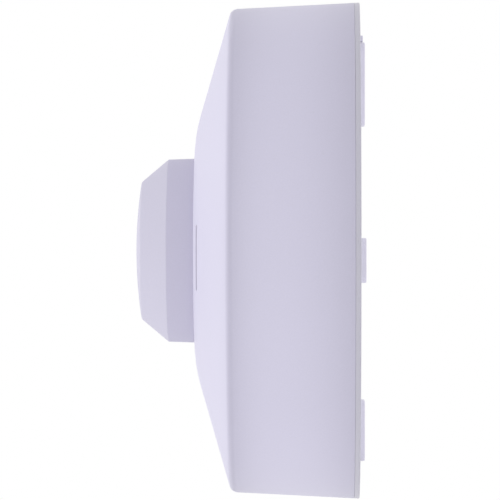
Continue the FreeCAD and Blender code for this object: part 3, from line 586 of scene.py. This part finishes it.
def boardFinish(name, mask, track, laminate):
    # solder mask over broken runs of copper track, and bare laminate on the cut edge
    finish, tree, shader = newFinish(name)
    place = addNode(tree, "ShaderNodeTexCoord").outputs["Object"]
    lay = addNode(tree, "ShaderNodeMapping", {"Vector": place, "Rotation": (math.pi / 2, 0, 0)})
    tracks = addNode(tree, "ShaderNodeTexBrick", {"Vector": lay.outputs[0], **trackPattern})
    broken = rangeNode(tree, noiseNode(tree, place, 55.0, 2.0), 0.45, 0.55)
    trackMask = mathNode(tree, "MULTIPLY", tracks.outputs["Fac"], broken)
    colour = mixColour(tree, trackMask, opaque(mask), opaque(track))
    side = mathNode(tree, "LESS_THAN", mathNode(tree, "ABSOLUTE", facing(tree, "True Normal")["Y"]), 0.5)
    colour = mixColour(tree, side, colour, opaque(laminate))
    skin = useGroup(tree, mouldedSkin, {
        "Colour": colour, "Roughness": 0.28, "Grain Scale": 5200.0, "Shade Drift": 0.12,
    })
    dusty = useGroup(tree, dustFilm, {"Amount": 0.12}, skin)
    coverShader(tree, shader, dusty, trackMask, 0.5, 0.00003)
    return finish


def clearFinish(name, colour, roughness, through):
    # tinted see-through plastic, with faint flow lines in its gloss
    finish, tree, shader = newFinish(name)
    skin = useGroup(tree, mouldedSkin, {
        "Colour": opaque(colour), "Roughness": roughness, "Grain Scale": 1500.0, "Gloss Drift": 0.05,
    })
    feed(tree, shader, {"Transmission Weight": through})
    coverShader(tree, shader, skin, skin.outputs["Height"], 0.1, 0.00001)
    return finish


shell = {"colour": (0.725, 0.70, 0.86), "roughness": 0.48, "worn": (0.78, 0.77, 0.87), "wear": 0.35,
         "grainDepth": 0.00003, "dust": 0.05}
inside = {"colour": (0.60, 0.585, 0.69), "roughness": 0.5}
finishes = {
    "housing_plastic": shellFinish("housing plastic", shell["colour"], shell["roughness"]),
    "base_plastic": mouldedFinish("base plastic", (0.725, 0.71, 0.81), 0.46, worn=shell["worn"], wear=0.3,
                                  dust=0.08),
    "cover_plastic": mouldedFinish("cover plastic", inside["colour"], inside["roughness"], grainScale=1800.0),
    "dial_plastic": mouldedFinish("dial plastic", (0.30, 0.31, 0.35), 0.42, worn=(0.45, 0.46, 0.5), wear=0.4),
    "grommet_rubber": mouldedFinish("grommet rubber", (0.028, 0.028, 0.030), 0.62, grainScale=1400.0,
                                    grainDepth=0.00004, worn=(0.07, 0.07, 0.07), wear=0.3, dust=0.25),
    "terminal_plastic": mouldedFinish("terminal plastic", (0.36, 0.37, 0.40), 0.48),
    "pot_plastic": mouldedFinish("potentiometer plastic", (0.025, 0.06, 0.24), 0.4),
    "spacer_plastic": mouldedFinish("spacer nylon", (0.62, 0.61, 0.56), 0.5, ior=1.53),
    "relay_case": mouldedFinish("relay case", (0.012, 0.016, 0.028), 0.3, clearCoat=0.2),
    "capacitor_case": mouldedFinish("film capacitor case", (0.62, 0.40, 0.03), 0.35, clearCoat=0.2),
    "capacitor_sleeve": mouldedFinish("capacitor sleeve", (0.012, 0.016, 0.035), 0.25, grainScale=900.0),
    "ferrite": mouldedFinish("ferrite", (0.022, 0.019, 0.017), 0.6, grainScale=1200.0, grainDepth=0.00006),
    "varistor_coat": mouldedFinish("varistor coating", (0.018, 0.06, 0.30), 0.32, grainScale=600.0,
                                   grainDepth=0.00008, clearCoat=0.3),
    "resistor_coat": mouldedFinish("resistor cement", (0.16, 0.15, 0.13), 0.75, grainScale=1600.0,
                                   grainDepth=0.00006),
    "black_epoxy": mouldedFinish("moulding compound", (0.012, 0.012, 0.013), 0.5, grainScale=2200.0),
    "contact_brass": metalFinish("contact brass", (0.62, 0.42, 0.14), 0.25),
    "clamp_metal": metalFinish("clamp brass", (0.55, 0.46, 0.28), 0.3, tarnish=0.15),
    "screw_steel": metalFinish("zinc-plated steel", (0.52, 0.53, 0.56), 0.32, lineScale=2500.0, tarnish=0.25),
    "tinned_steel": metalFinish("tinned steel", (0.60, 0.60, 0.60), 0.3, tarnish=0.12),
    "antenna_copper": metalFinish("gold-washed copper", (0.72, 0.44, 0.16), 0.3, tarnish=0.1),
    "circuit_board": boardFinish("circuit board", (0.008, 0.075, 0.028), (0.03, 0.20, 0.07),
                                 (0.42, 0.36, 0.16)),
    "smoked_window": clearFinish("smoked window", (0.42, 0.41, 0.45), 0.12, 0.25),
    "lamp_epoxy": clearFinish("lamp epoxy", (0.60, 0.03, 0.02), 0.15, 0.5),
    "sensor_epoxy": clearFinish("sensor epoxy", (0.75, 0.78, 0.75), 0.08, 0.7),
}
for node, piece in frame["nodes"].items():
    finish = finishes[nodeSlot[node]]
    if not piece.material_slots:
        piece.data.materials.append(finish)
    for holder in piece.material_slots:
        holder.material = finish
print("finishes made:", len(finishes))


# Front housing: turned shell with the window's slot, crown disc, collar, bushes, bosses, ribs and catches

rim = {"radius": 57.5, "back": 1.25, "front": 2.45, "seam": 0.03, "seamRound": 0.08, "round": 0.3}
housing = {
    "draft": 2.9, "thick": 2.2, "coneRise": 8.4, "cornerRound": 2.0, "crownRadius": 27.08, "crownRound": 30.0,
    "discRadius": 18.0, "steps": 256, "collarHeight": 4.0, "collarInner": 17.266, "collarOuter": 19.066,
    "collarChamfer": 0.5, "bushHole": 2.08, "bushRadius": 3.3, "bushLength": 1.6, "dialRing": 9.6,
    "firstDial": 90.0, "bossRadius": 3.5, "bossLength": 9.0, "pilotRadius": 1.3, "pilotLength": 3.3,
    "screwRing": 41.0, "firstScrew": 60.0, "ribWidth": 1.2, "ribCount": 9, "firstRib": 20.0, "ribInner": 33.5,
    "ribReach": 15.5, "ribHeight": 4.5, "ribGap": 0.2, "catchInner": 51.5, "catchWidth": 4.5,
    "catchBack": 7.2, "catchFront": 9.2, "catchHalfAngle": 6.0, "firstCatch": 30.0, "soft": 0.15,
    "bushSoft": 0.1, "capThick": 0.5, "arcStep": 4.0,
}
windowSlot = {
    "radius": 30.2, "angle": -3.2, "halfAngle": 14.2, "width": 1.1, "soft": 0.13,
    "searchReach": 2.5, "searchAngle": 3.0,
}
faceDepth = -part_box("front_housing")[0].y / mm - housing["collarHeight"]
cornerDepth = faceDepth - housing["coneRise"]
draftSlope = math.tan(math.radians(housing["draft"]))
cornerRadius = rim["radius"] - (cornerDepth - rim["back"]) * draftSlope
coneTilt = math.atan2(housing["coneRise"], cornerRadius - housing["crownRadius"])
housingPlastic = finishes["housing_plastic"]


def shellProfile(h, s):
    backDepth = rim["front"] + rim["seam"]
    outer = [
        (rim["radius"] - (backDepth - rim["back"]) * draftSlope, backDepth),
        (cornerRadius, cornerDepth),
        (h["crownRadius"], faceDepth),
        (h["discRadius"], faceDepth),
    ]
    inner = insetPath(outer, h["thick"])
    half = s["width"] / 2
    reach = math.cos(coneTilt)
    outerRows = [s["radius"] + k * reach for k in (-half - s["soft"], -half, half, half + s["soft"])]
    innerRows = [s["radius"] - h["thick"] * math.sin(coneTilt) + k * reach for k in (-half, half)]
    outerPath = roundedPath([
        inner[0],
        outer[0] + (rim["seamRound"],),
        outer[1] + (h["cornerRound"],),
        outer[2] + (h["crownRound"],),
        outer[3],
    ], closed=False, step=h["arcStep"])
    innerPath = roundedPath([
        inner[3],
        inner[2] + (h["crownRound"] - h["thick"],),
        inner[1] + (h["cornerRound"],),
        inner[0],
    ], closed=False, step=h["arcStep"])
    points = addRows(outerPath, outerRows) + addRows(innerPath, innerRows)[:-1]
    return points, outerRows, innerRows


def cutSlot(mesh, h, s, outerRows, innerRows):
    bm = bmesh.new()
    bm.from_mesh(mesh)
    bmesh.ops.remove_doubles(bm, verts=bm.verts, dist=edgeLook["merge"])
    low = s["angle"] - s["halfAngle"]
    high = s["angle"] + s["halfAngle"]
    margin = math.degrees(s["soft"] / s["radius"])

    def spot(point):
        return math.hypot(point.x, point.z) / mm, math.degrees(math.atan2(point.z, point.x)), -point.y / mm

    def near(face):
        radius, angle, depth = spot(face.calc_center_median())
        beside = low - s["searchAngle"] < angle < high + s["searchAngle"]
        return abs(radius - s["radius"]) < s["searchReach"] and beside and depth > cornerDepth

    def belowSkin(radius, depth):
        return faceDepth - (radius - h["crownRadius"]) * math.tan(coneTilt) - depth

    for angle in (low - margin, low, high, high + margin):
        faces = [face for face in bm.faces if near(face)]
        parts = set(faces)
        for face in faces:
            parts.update(face.edges)
            parts.update(face.verts)
        side = Vector((-math.sin(math.radians(angle)), 0, math.cos(math.radians(angle))))
        bmesh.ops.bisect_plane(bm, geom=list(parts), dist=1e-8, plane_co=(0, 0, 0), plane_no=side)
    gone = []
    for face in bm.faces:
        if not near(face):
            continue
        radius, angle, depth = spot(face.calc_center_median())
        rows = outerRows[1:3] if belowSkin(radius, depth) < h["thick"] / 2 else innerRows
        if rows[0] < radius < rows[1] and low < angle < high:
            gone.append(face)
    bmesh.ops.delete(bm, geom=gone, context="FACES")
    lipEdges = [edge for edge in bm.edges if len(edge.link_faces) == 1]
    outside = set()
    for edge in lipEdges:
        for vert in edge.verts:
            radius, angle, depth = spot(vert.co)
            if belowSkin(radius, depth) < h["thick"] / 2:
                outside.add(vert)
    for vert in outside:  # the slot's lip is drawn in, so that its edge is softened
        angle = math.atan2(vert.co.z, vert.co.x)
        out = math.sin(coneTilt)
        inwards = Vector((-out * math.cos(angle), math.cos(coneTilt), -out * math.sin(angle)))
        vert.co += inwards * s["soft"] * mm
    bmesh.ops.bridge_loops(bm, edges=lipEdges)
    bm.to_mesh(mesh)
    bm.free()
    print("window slot cut,", len(gone), "faces out,", len(lipEdges), "lip edges")
    return mesh


def frontHousing(h, s):
    points, outerRows, innerRows = shellProfile(h, s)
    shellMesh = cutSlot(turned(points, housingPlastic, steps=h["steps"]), h, s, outerRows, innerRows)
    back = faceDepth - h["thick"]
    bushPlaces = [polar(h["dialRing"], h["firstDial"] + 120.0 * i) for i in range(3)]
    disc = plate(roundShape(0, 0, h["discRadius"], h["steps"]),
                 [roundShape(x, z, h["bushHole"], 48) for x, z in bushPlaces], back, faceDepth)
    collarFront = faceDepth + h["collarHeight"]
    collar = turned(roundedPath([
        (h["collarInner"], back + h["thick"] / 2),
        (h["collarOuter"], back + h["thick"] / 2),
        (h["collarOuter"], collarFront - h["collarChamfer"], h["soft"]),
        (h["collarOuter"] - h["collarChamfer"], collarFront, h["soft"]),
        (h["collarInner"], collarFront, h["soft"]),
    ]), housingPlastic, steps=192)
    bush = turned(ringBand(h["bushHole"], h["bushRadius"], back - h["bushLength"], back, soft=h["bushSoft"]),
                  housingPlastic, steps=48, at=polar(h["dialRing"], 0))
    bossBack = faceDepth - h["bossLength"]
    pilotFront = bossBack + h["pilotLength"]
    boss = turned(roundedPath([
        (0.0, pilotFront),
        (h["pilotRadius"], pilotFront),
        (h["pilotRadius"], bossBack, h["soft"]),
        (h["bossRadius"], bossBack, h["soft"]),
        (h["bossRadius"], pilotFront + h["capThick"]),
        (0.0, pilotFront + h["capThick"]),
    ], closed=False), housingPlastic, closed=False, steps=48, at=polar(h["screwRing"], 0))
    ribBack = cornerDepth + h["ribGap"]
    rib = block([
        (h["ribInner"], ribBack),
        (h["ribInner"] + h["ribReach"], ribBack),
        (h["ribInner"], ribBack + h["ribHeight"]),
    ], h["ribWidth"])
    catch = ringBand(h["catchInner"], h["catchInner"] + h["catchWidth"], h["catchBack"], h["catchFront"])
    grip = turned(catch, housingPlastic, steps=16, start=-h["catchHalfAngle"], sweep=2 * h["catchHalfAngle"])
    gather("frontHousing", [
        shellMesh,
        disc,
        collar,
        repeated(bush, housingPlastic, 3, h["firstDial"]),
        repeated(boss, housingPlastic, 3, h["firstScrew"]),
        repeated(rib, housingPlastic, h["ribCount"], h["firstRib"]),
        repeated(grip, housingPlastic, 3, h["firstCatch"]),
    ], "head", "housing_plastic", ["front_housing"])


frontHousing(housing, windowSlot)


# Centre cap: drafted wall, chamfer and shallow dome over a thin skin, with crush ribs inside

cap = {
    "colour": (0.668, 0.645, 0.782), "roughness": 0.62, "radius": 21.35, "wallHeight": 6.1, "draft": 1.9,
    "chamfer": 40.0, "domeRadius": 15.95, "domeRise": 1.25, "domeRound": 1.0, "thick": 1.8,
    "innerDomeInset": 4.9, "edgeRound": 0.3, "steps": 256, "ribInner": 19.116, "ribWidth": 1.0,
    "ribHeight": 3.2, "ribCount": 6, "ribSoft": 0.08,
}


def centreCap(c):
    plastic = shellFinish("cap plastic", c["colour"], c["roughness"])
    back = faceDepth + rim["seam"]
    solidBack = -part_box("centre_cap")[1].y / mm
    wallEnd = solidBack + c["wallHeight"]
    wallRadius = c["radius"] - c["wallHeight"] * math.tan(math.radians(c["draft"]))
    domeStart = wallEnd + (wallRadius - c["domeRadius"]) / math.tan(math.radians(c["chamfer"]))
    apex = domeStart + c["domeRise"]
    ball = (c["domeRadius"] ** 2 + c["domeRise"] ** 2) / (2 * c["domeRise"])

    def dome(size, top, start, steps=14):
        radii = [start * (1 - k / steps) for k in range(1, steps + 1)]
        return [(r, top - size + math.sqrt(size ** 2 - r ** 2)) for r in radii]

    outer = [(c["radius"], back), (wallRadius, wallEnd), (c["domeRadius"], domeStart)]
    inner = insetPath(outer + [(0.0, domeStart)], c["thick"])
    innerTop = apex - c["thick"]
    innerDomeStart = inner[1][0] - c["innerDomeInset"]
    outside = roundedPath([
        inner[0],
        outer[0] + (rim["seamRound"],),
        outer[1] + (c["edgeRound"],),
        outer[2] + (c["domeRound"],),
    ] + dome(ball, apex, c["domeRadius"]), closed=False)
    innerDome = dome(ball - c["thick"], innerTop, innerDomeStart)
    meet = innerTop - (ball - c["thick"]) + math.sqrt((ball - c["thick"]) ** 2 - innerDomeStart ** 2)
    within = roundedPath([inner[0], inner[1], (innerDomeStart, meet)] + innerDome, closed=False)
    skin = turned(within[::-1] + outside[1:], plastic, closed=False, steps=c["steps"])
    ribOuter = c["radius"] - c["thick"] / 2
    rib = block(oblong(c["ribInner"], ribOuter, solidBack + c["edgeRound"], solidBack + c["ribHeight"]),
                c["ribWidth"], soft=c["ribSoft"])
    gather("centreCap", [skin, repeated(rib, plastic, c["ribCount"], 0.0)],
           "cap", "housing_plastic", ["centre_cap"], finish=plastic)


centreCap(cap)


# Base plate: rim and spigot, floor with its holes, pads, ribs, bayonet lugs, stops and pegs

base = {
    "spigotOuter": 51.0, "spigotInner": 49.0, "spigotFront": 12.0, "innerRound": 0.2, "floorBack": 2.25,
    "floorFront": 4.25, "floorReach": 0.6, "floorSoft": 0.2, "cableHole": 9.0, "slotPlace": 40.0,
    "slotWidth": 4.0, "slotLength": 9.0, "padWidth": 14.0, "padRound": 2.0, "padSoft": 0.25,
    "topPad": (38.5, 19.2), "lowPad": (-41.65, 13.9), "sidePad": (36.0, -2.2, 10.0), "ribDeep": 0.8,
    "ribWidth": 1.2, "ribSoft": 0.15, "ribSink": 0.3, "ribCount": 8, "firstRib": 22.5, "spokeSink": 0.02,
    "spokeInner": 12.8, "spokeOuter": 49.5, "ringRadius": 28.0, "hubRadius": 12.2, "footSink": 0.5,
}
locator = {"place": 49.1, "width": 6.0, "height": 1.4, "round": 0.2, "back": 0.45, "soft": 0.1}
lugs = {"inner": 50.0, "outer": 53.4, "back": 9.5, "front": 11.5, "stopBack": 7.2, "start": 21.65,
        "sweep": 14.35, "stopSweep": 2.0, "stopInset": 0.02, "stopShift": 0.05}
jawRests = {"inner": 36.7, "outer": 39.7, "width": 4.2, "front": 5.2, "angles": (-25.0, 0.0, 25.0)}
pegs = {"ring": 24.0, "radius": 1.2, "front": 7.05, "round": 0.2, "angles": (-12.5, 12.5)}
basePlastic = finishes["base_plastic"]


def basePads(b, slots):
    places = [(0, *b["topPad"], slots[:1]), (0, *b["lowPad"], slots[1:])]
    x, z, height = b["sidePad"]
    places += [(side * x, z, height, []) for side in (1, -1)]
    return [
        plate(roundRect(right, up, b["padWidth"], tall, b["padRound"]), holes, 0.0, b["floorBack"],
              softBack=b["padSoft"])
        for right, up, tall, holes in places
    ]


def baseRibs(b):
    back, front = b["floorBack"] - b["ribDeep"], b["floorBack"] + b["ribSink"]
    rings = []
    for radius in (b["ringRadius"], b["hubRadius"]):
        outer = radius + b["ribWidth"]
        ring = [(radius, back, b["ribSoft"]), (outer, back, b["ribSoft"]), (outer, front), (radius, front)]
        rings.append(turned(roundedPath(ring), basePlastic, steps=160))
    spoke = block(oblong(b["spokeInner"], b["spokeOuter"], back + b["spokeSink"], front), b["ribWidth"])
    return rings + [repeated(spoke, basePlastic, b["ribCount"], b["firstRib"])]


def basePlate(b, k, l, j, p):
    flange = turned(roundedPath([
        (b["spigotInner"], rim["back"], b["innerRound"]),
        (rim["radius"], rim["back"], rim["round"]),
        (rim["radius"] - (rim["front"] - rim["back"]) * draftSlope, rim["front"], rim["seamRound"]),
        (b["spigotOuter"], rim["front"]),
        (b["spigotOuter"], b["spigotFront"], rim["round"]),
        (b["spigotInner"], b["spigotFront"], rim["round"]),
    ]), basePlastic)
    slots = [roundRect(0, side * b["slotPlace"], b["slotWidth"], b["slotLength"], b["slotWidth"] / 2)
             for side in (1, -1)]
    floor = plate(roundShape(0, 0, b["spigotInner"] + b["floorReach"], 256),
                  slots + [roundShape(0, 0, b["cableHole"], 96)], b["floorBack"], b["floorFront"],
                  softFront=b["floorSoft"])
    parts = [flange, floor] + basePads(b, slots) + baseRibs(b)
    locatorShape = roundRect(0, k["place"], k["width"], k["height"], k["round"])
    parts.append(plate(locatorShape, [], k["back"], b["floorBack"], softBack=k["soft"]))
    lug = turned(ringBand(l["inner"], l["outer"], l["back"], l["front"]), basePlastic, steps=16,
                 start=l["start"], sweep=l["sweep"])
    inset = l["stopInset"]
    stop = turned(ringBand(l["inner"], l["outer"] - inset, l["stopBack"], l["front"] - inset), basePlastic,
                  steps=4, start=l["start"] + l["stopShift"], sweep=l["stopSweep"])
    parts += [repeated(lug, basePlastic, 3, 0.0), repeated(stop, basePlastic, 3, 0.0)]
    foot = b["floorFront"] - b["footSink"]
    for angle in j["angles"]:
        rest = block(oblong(j["inner"], j["outer"], foot, j["front"]), j["width"])
        parts.append(repeated(rest, basePlastic, 1, angle))
    for angle in p["angles"]:
        pin = [(0.0, p["front"]), (p["radius"], p["front"], p["round"]), (p["radius"], foot), (0.0, foot)]
        parts.append(turned(roundedPath(pin, closed=False), basePlastic, closed=False, steps=32,
                            at=polar(p["ring"], angle)))
    gather("basePlate", parts, "base", "base_plastic", ["base_plate"])


basePlate(base, locator, lugs, jawRests, pegs)


# Cable grommet: rubber ring that grips the edge of the floor's hole

grommet = {"cable": 3.8, "wall": 7.0, "flange": 11.0, "web": (2.0, 4.5), "flanges": (1.25, 2.25, 4.25, 5.25),
           "waist": 8.95, "soft": 0.3, "innerSoft": 0.2, "hold": 0.2}


def cableGrommet(g):
    back, gripBack, gripFront, front = g["flanges"]
    points = roundedPath([
        (g["cable"], g["web"][0], g["innerSoft"]),
        (g["wall"], g["web"][0], g["soft"]),
        (g["wall"], back, g["innerSoft"]),
        (g["flange"], back, g["soft"]),
        (g["flange"], gripBack),
        (g["waist"], gripBack),
        (g["waist"], gripFront),
        (g["flange"], gripFront),
        (g["flange"], front, g["soft"]),
        (g["wall"], front, g["innerSoft"]),
        (g["wall"], g["web"][1], g["soft"]),
        (g["cable"], g["web"][1], g["innerSoft"]),
    ], hold=g["hold"])
    gather("cableGrommet", [turned(points, finishes["grommet_rubber"], steps=128)],
           "base", "grommet_rubber", ["cable_grommet"])


cableGrommet(grommet)


# Trim dials: fluted knobs with a driver slot and a pointer groove, each on its spindle

dialSizes = {
    "ring": 9.6, "radius": 5.25, "height": 3.2, "flutes": 12, "fluteRadius": 0.55, "slotWidth": 1.1,
    "slotDeep": 1.2, "slotReach": 4.25, "slotRound": 0.3, "pointerStart": 1.5, "pointerDeep": 0.6,
    "pointerFlare": 0.4, "spindle": 2.0, "spindleRound": 0.5, "soft": 0.25, "backSoft": 0.15,
    "pointerLand": 0.08, "fluteSteps": 8, "landSteps": 6,
}
dialPlaces = {"sensitivity_dial": 90.0, "time_dial": 210.0, "light_dial": 330.0}


def fluted(d, x, z, pointer=False):
    def shape(inset):
        radius, cut = d["radius"] - inset, d["fluteRadius"] + inset
        centre = d["radius"] + d["fluteRadius"] / 2
        swing = math.acos((radius ** 2 + centre ** 2 - cut ** 2) / (2 * radius * centre))
        pitch = math.tau / d["flutes"]
        points = []
        for i in range(d["flutes"]):
            middle = pitch * (i + 0.5)
            start = math.atan2(radius * math.sin(swing), centre - radius * math.cos(swing))
            for k in range(d["fluteSteps"] + 1):
                turn = start * (1 - 2 * k / d["fluteSteps"])
                points.append(Vector((centre - cut * math.cos(turn), -cut * math.sin(turn))))
                points[-1].rotate(Matrix.Rotation(middle, 2))
            land = pitch - 2 * swing
            for k in range(1, d["landSteps"]):
                turn = middle + swing + land * k / d["landSteps"]
                points.append(Vector((radius * math.cos(turn), radius * math.sin(turn))))
        if pointer:  # the groove runs out through the land at the top
            flare = d["pointerFlare"] * inset
            half = d["slotWidth"] / 4 + flare
            edge = math.sqrt(radius ** 2 - half ** 2)
            floor = d["pointerStart"] - flare
            rows = [i for i, point in enumerate(points) if abs(point.x) < d["pointerLand"] * point.y]
            groove = [Vector(spot) for spot in ((half, edge), (half, floor), (-half, floor), (-half, edge))]
            points = points[:rows[0]] + groove + points[rows[-1] + 1:]
        return [point + Vector((x, z)) for point in points]
    return shape


def trimDial(d, node, angle):
    x, z = polar(d["ring"], angle)
    finish = finishes["dial_plastic"]
    low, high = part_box(node)
    front, spindleEnd = -low.y / mm, -high.y / mm
    back = front - d["height"]
    slotFloor = front - d["slotDeep"]
    grooveFloor = front - d["pointerDeep"]
    hole = roundRect(x, z, 2 * d["slotReach"], d["slotWidth"], d["slotRound"])
    spindle = roundedPath([
        (0.0, spindleEnd), (d["spindle"], spindleEnd, d["spindleRound"]), (d["spindle"], back), (0.0, back),
    ], closed=False)
    gather(node.replace("_dial", "Dial"), [
        plate(fluted(d, x, z), [], back, slotFloor, softBack=d["backSoft"]),
        plate(fluted(d, x, z), [hole], slotFloor, grooveFloor),
        plate(fluted(d, x, z, pointer=True), [hole], grooveFloor, front, softFront=d["soft"]),
        turned(spindle, finish, closed=False, steps=48, at=(x, z)),
    ], node, "dial_plastic", [node])


for node, angle in dialPlaces.items():
    trimDial(dialSizes, node, angle)


# Studio: pale floor well below, a white surround that gives all the light, and two unseen dark cards

studio = {
    "floorHeight": -0.30, "floorRadius": 3.0, "floorWhite": 0.9, "lightFront": 1.71, "frontPower": 3.0,
    "lightSide": 0.675, "lightBack": 1.2, "backFrom": 0.5, "below": 0.1,
}
backCard = {
    "name": "backCard", "inner": 58.7, "outer": 70.0, "right": 3.0, "up": 1.5, "depth": -2.5, "thick": 1.0,
    "shade": 0.5,
}
frontCard = {
    "name": "frontCard", "inner": 57.0, "outer": 63.0, "right": -3.0, "up": 0.0, "depth": 32.0, "thick": 1.0,
    "shade": 0.45,
}


def showWhite(tree, lit, white, share):
    # the camera, gloss and glass see the white shader, and the object is lit by the other
    rays = addNode(tree, "ShaderNodeLightPath").outputs
    seen = mathNode(tree, "MAXIMUM", rays["Is Camera Ray"], rays["Is Glossy Ray"])
    seen = mathNode(tree, "MAXIMUM", seen, rays["Is Transmission Ray"])
    share = mathNode(tree, "MULTIPLY", seen, share)
    mix = addNode(tree, "ShaderNodeMixShader", {0: share, 1: lit.outputs[0], 2: white.outputs[0]})
    out = next(node for node in tree.nodes if node.type.startswith("OUTPUT"))
    feed(tree, out, {"Surface": mix.outputs[0]})


def studioFloor(s):
    bm = bmesh.new()
    bmesh.ops.create_circle(bm, cap_ends=True, segments=128, radius=s["floorRadius"])
    bmesh.ops.translate(bm, verts=bm.verts, vec=(0, 0, s["floorHeight"]))
    floor = addObject("floor", meshFrom(bm, "floor"))
    finish, tree, shader = newFinish("pale floor")
    feed(tree, shader, {"Base Color": (0.8, 0.8, 0.8, 1), "Roughness": 0.9})
    showWhite(tree, shader, addNode(tree, "ShaderNodeEmission"), s["floorWhite"])
    floor.data.materials.append(finish)
    floor.visible_diffuse = False


def studioWorld(s):
    # seen white, while its light is strongest along the object's axis and a little stronger from below
    world = bpy.data.worlds.new("white surround")
    world.use_nodes = True
    scene.world = world
    tree = world.node_tree
    around = addNode(tree, "ShaderNodeTexCoord").outputs["Generated"]
    way = addNode(tree, "ShaderNodeSeparateXYZ", {0: around}).outputs
    forward = mathNode(tree, "MAXIMUM", mathNode(tree, "MULTIPLY", way["Y"], -1.0), 0.0)
    front = mathNode(tree, "POWER", forward, s["frontPower"])
    front = mathNode(tree, "MULTIPLY", front, s["lightFront"] - s["lightSide"])
    backMore = s["lightBack"] - s["lightSide"]
    back = mathNode(tree, "MULTIPLY", way["Y"], backMore / s["backFrom"])
    axial = mathNode(tree, "MAXIMUM", front, mathNode(tree, "MINIMUM", back, backMore))
    lift = mathNode(tree, "MULTIPLY", way["Z"], -s["below"])
    sky = next(node for node in tree.nodes if node.type == "BACKGROUND")
    strength = mathNode(tree, "ADD", mathNode(tree, "ADD", axial, lift), s["lightSide"])
    feed(tree, sky, {"Color": (1, 1, 1, 1), "Strength": strength})
    plain = addNode(tree, "ShaderNodeBackground", {"Color": (1, 1, 1, 1), "Strength": 1.0})
    showWhite(tree, sky, plain, 1.0)


def shadeCard(c):
    # dark plate round the housing that no camera sees, to shade the side wall near it
    ring = plate(roundShape(c["right"], c["up"], c["outer"], 128), [roundShape(0.0, 0.0, c["inner"], 128)],
                 c["depth"], c["depth"] + c["thick"])
    card = addObject(c["name"], ring)
    finish, tree, shader = newFinish("dark card")
    feed(tree, shader, {"Base Color": (c["shade"], c["shade"], c["shade"], 1), "Roughness": 1.0})
    ring.materials.append(finish)
    card.visible_camera = False
    card.visible_glossy = False
    card.visible_transmission = False


studioFloor(studio)
studioWorld(studio)
shadeCard(backCard)
shadeCard(frontCard)
print("studio set")


# Camera at the photograph's side view, about a metre from the axis

camera = {"place": (0.996, -0.00989, 0.0), "target": (0.0, -0.02664, 0.00014), "lens": 308.7, "sensor": 36.0,
          "near": 0.05, "far": 20.0}
cameraData = bpy.data.cameras.new("camera")
cameraData.lens = camera["lens"]
cameraData.sensor_width = camera["sensor"]
cameraData.clip_start = camera["near"]
cameraData.clip_end = camera["far"]
cameraHolder = addObject("camera", cameraData)
cameraHolder.location = camera["place"]
aim = Vector(camera["target"]) - Vector(camera["place"])
cameraHolder.rotation_euler = aim.to_track_quat("-Z", "Y").to_euler()
scene.camera = cameraHolder
scene.view_settings.view_transform = "Standard"
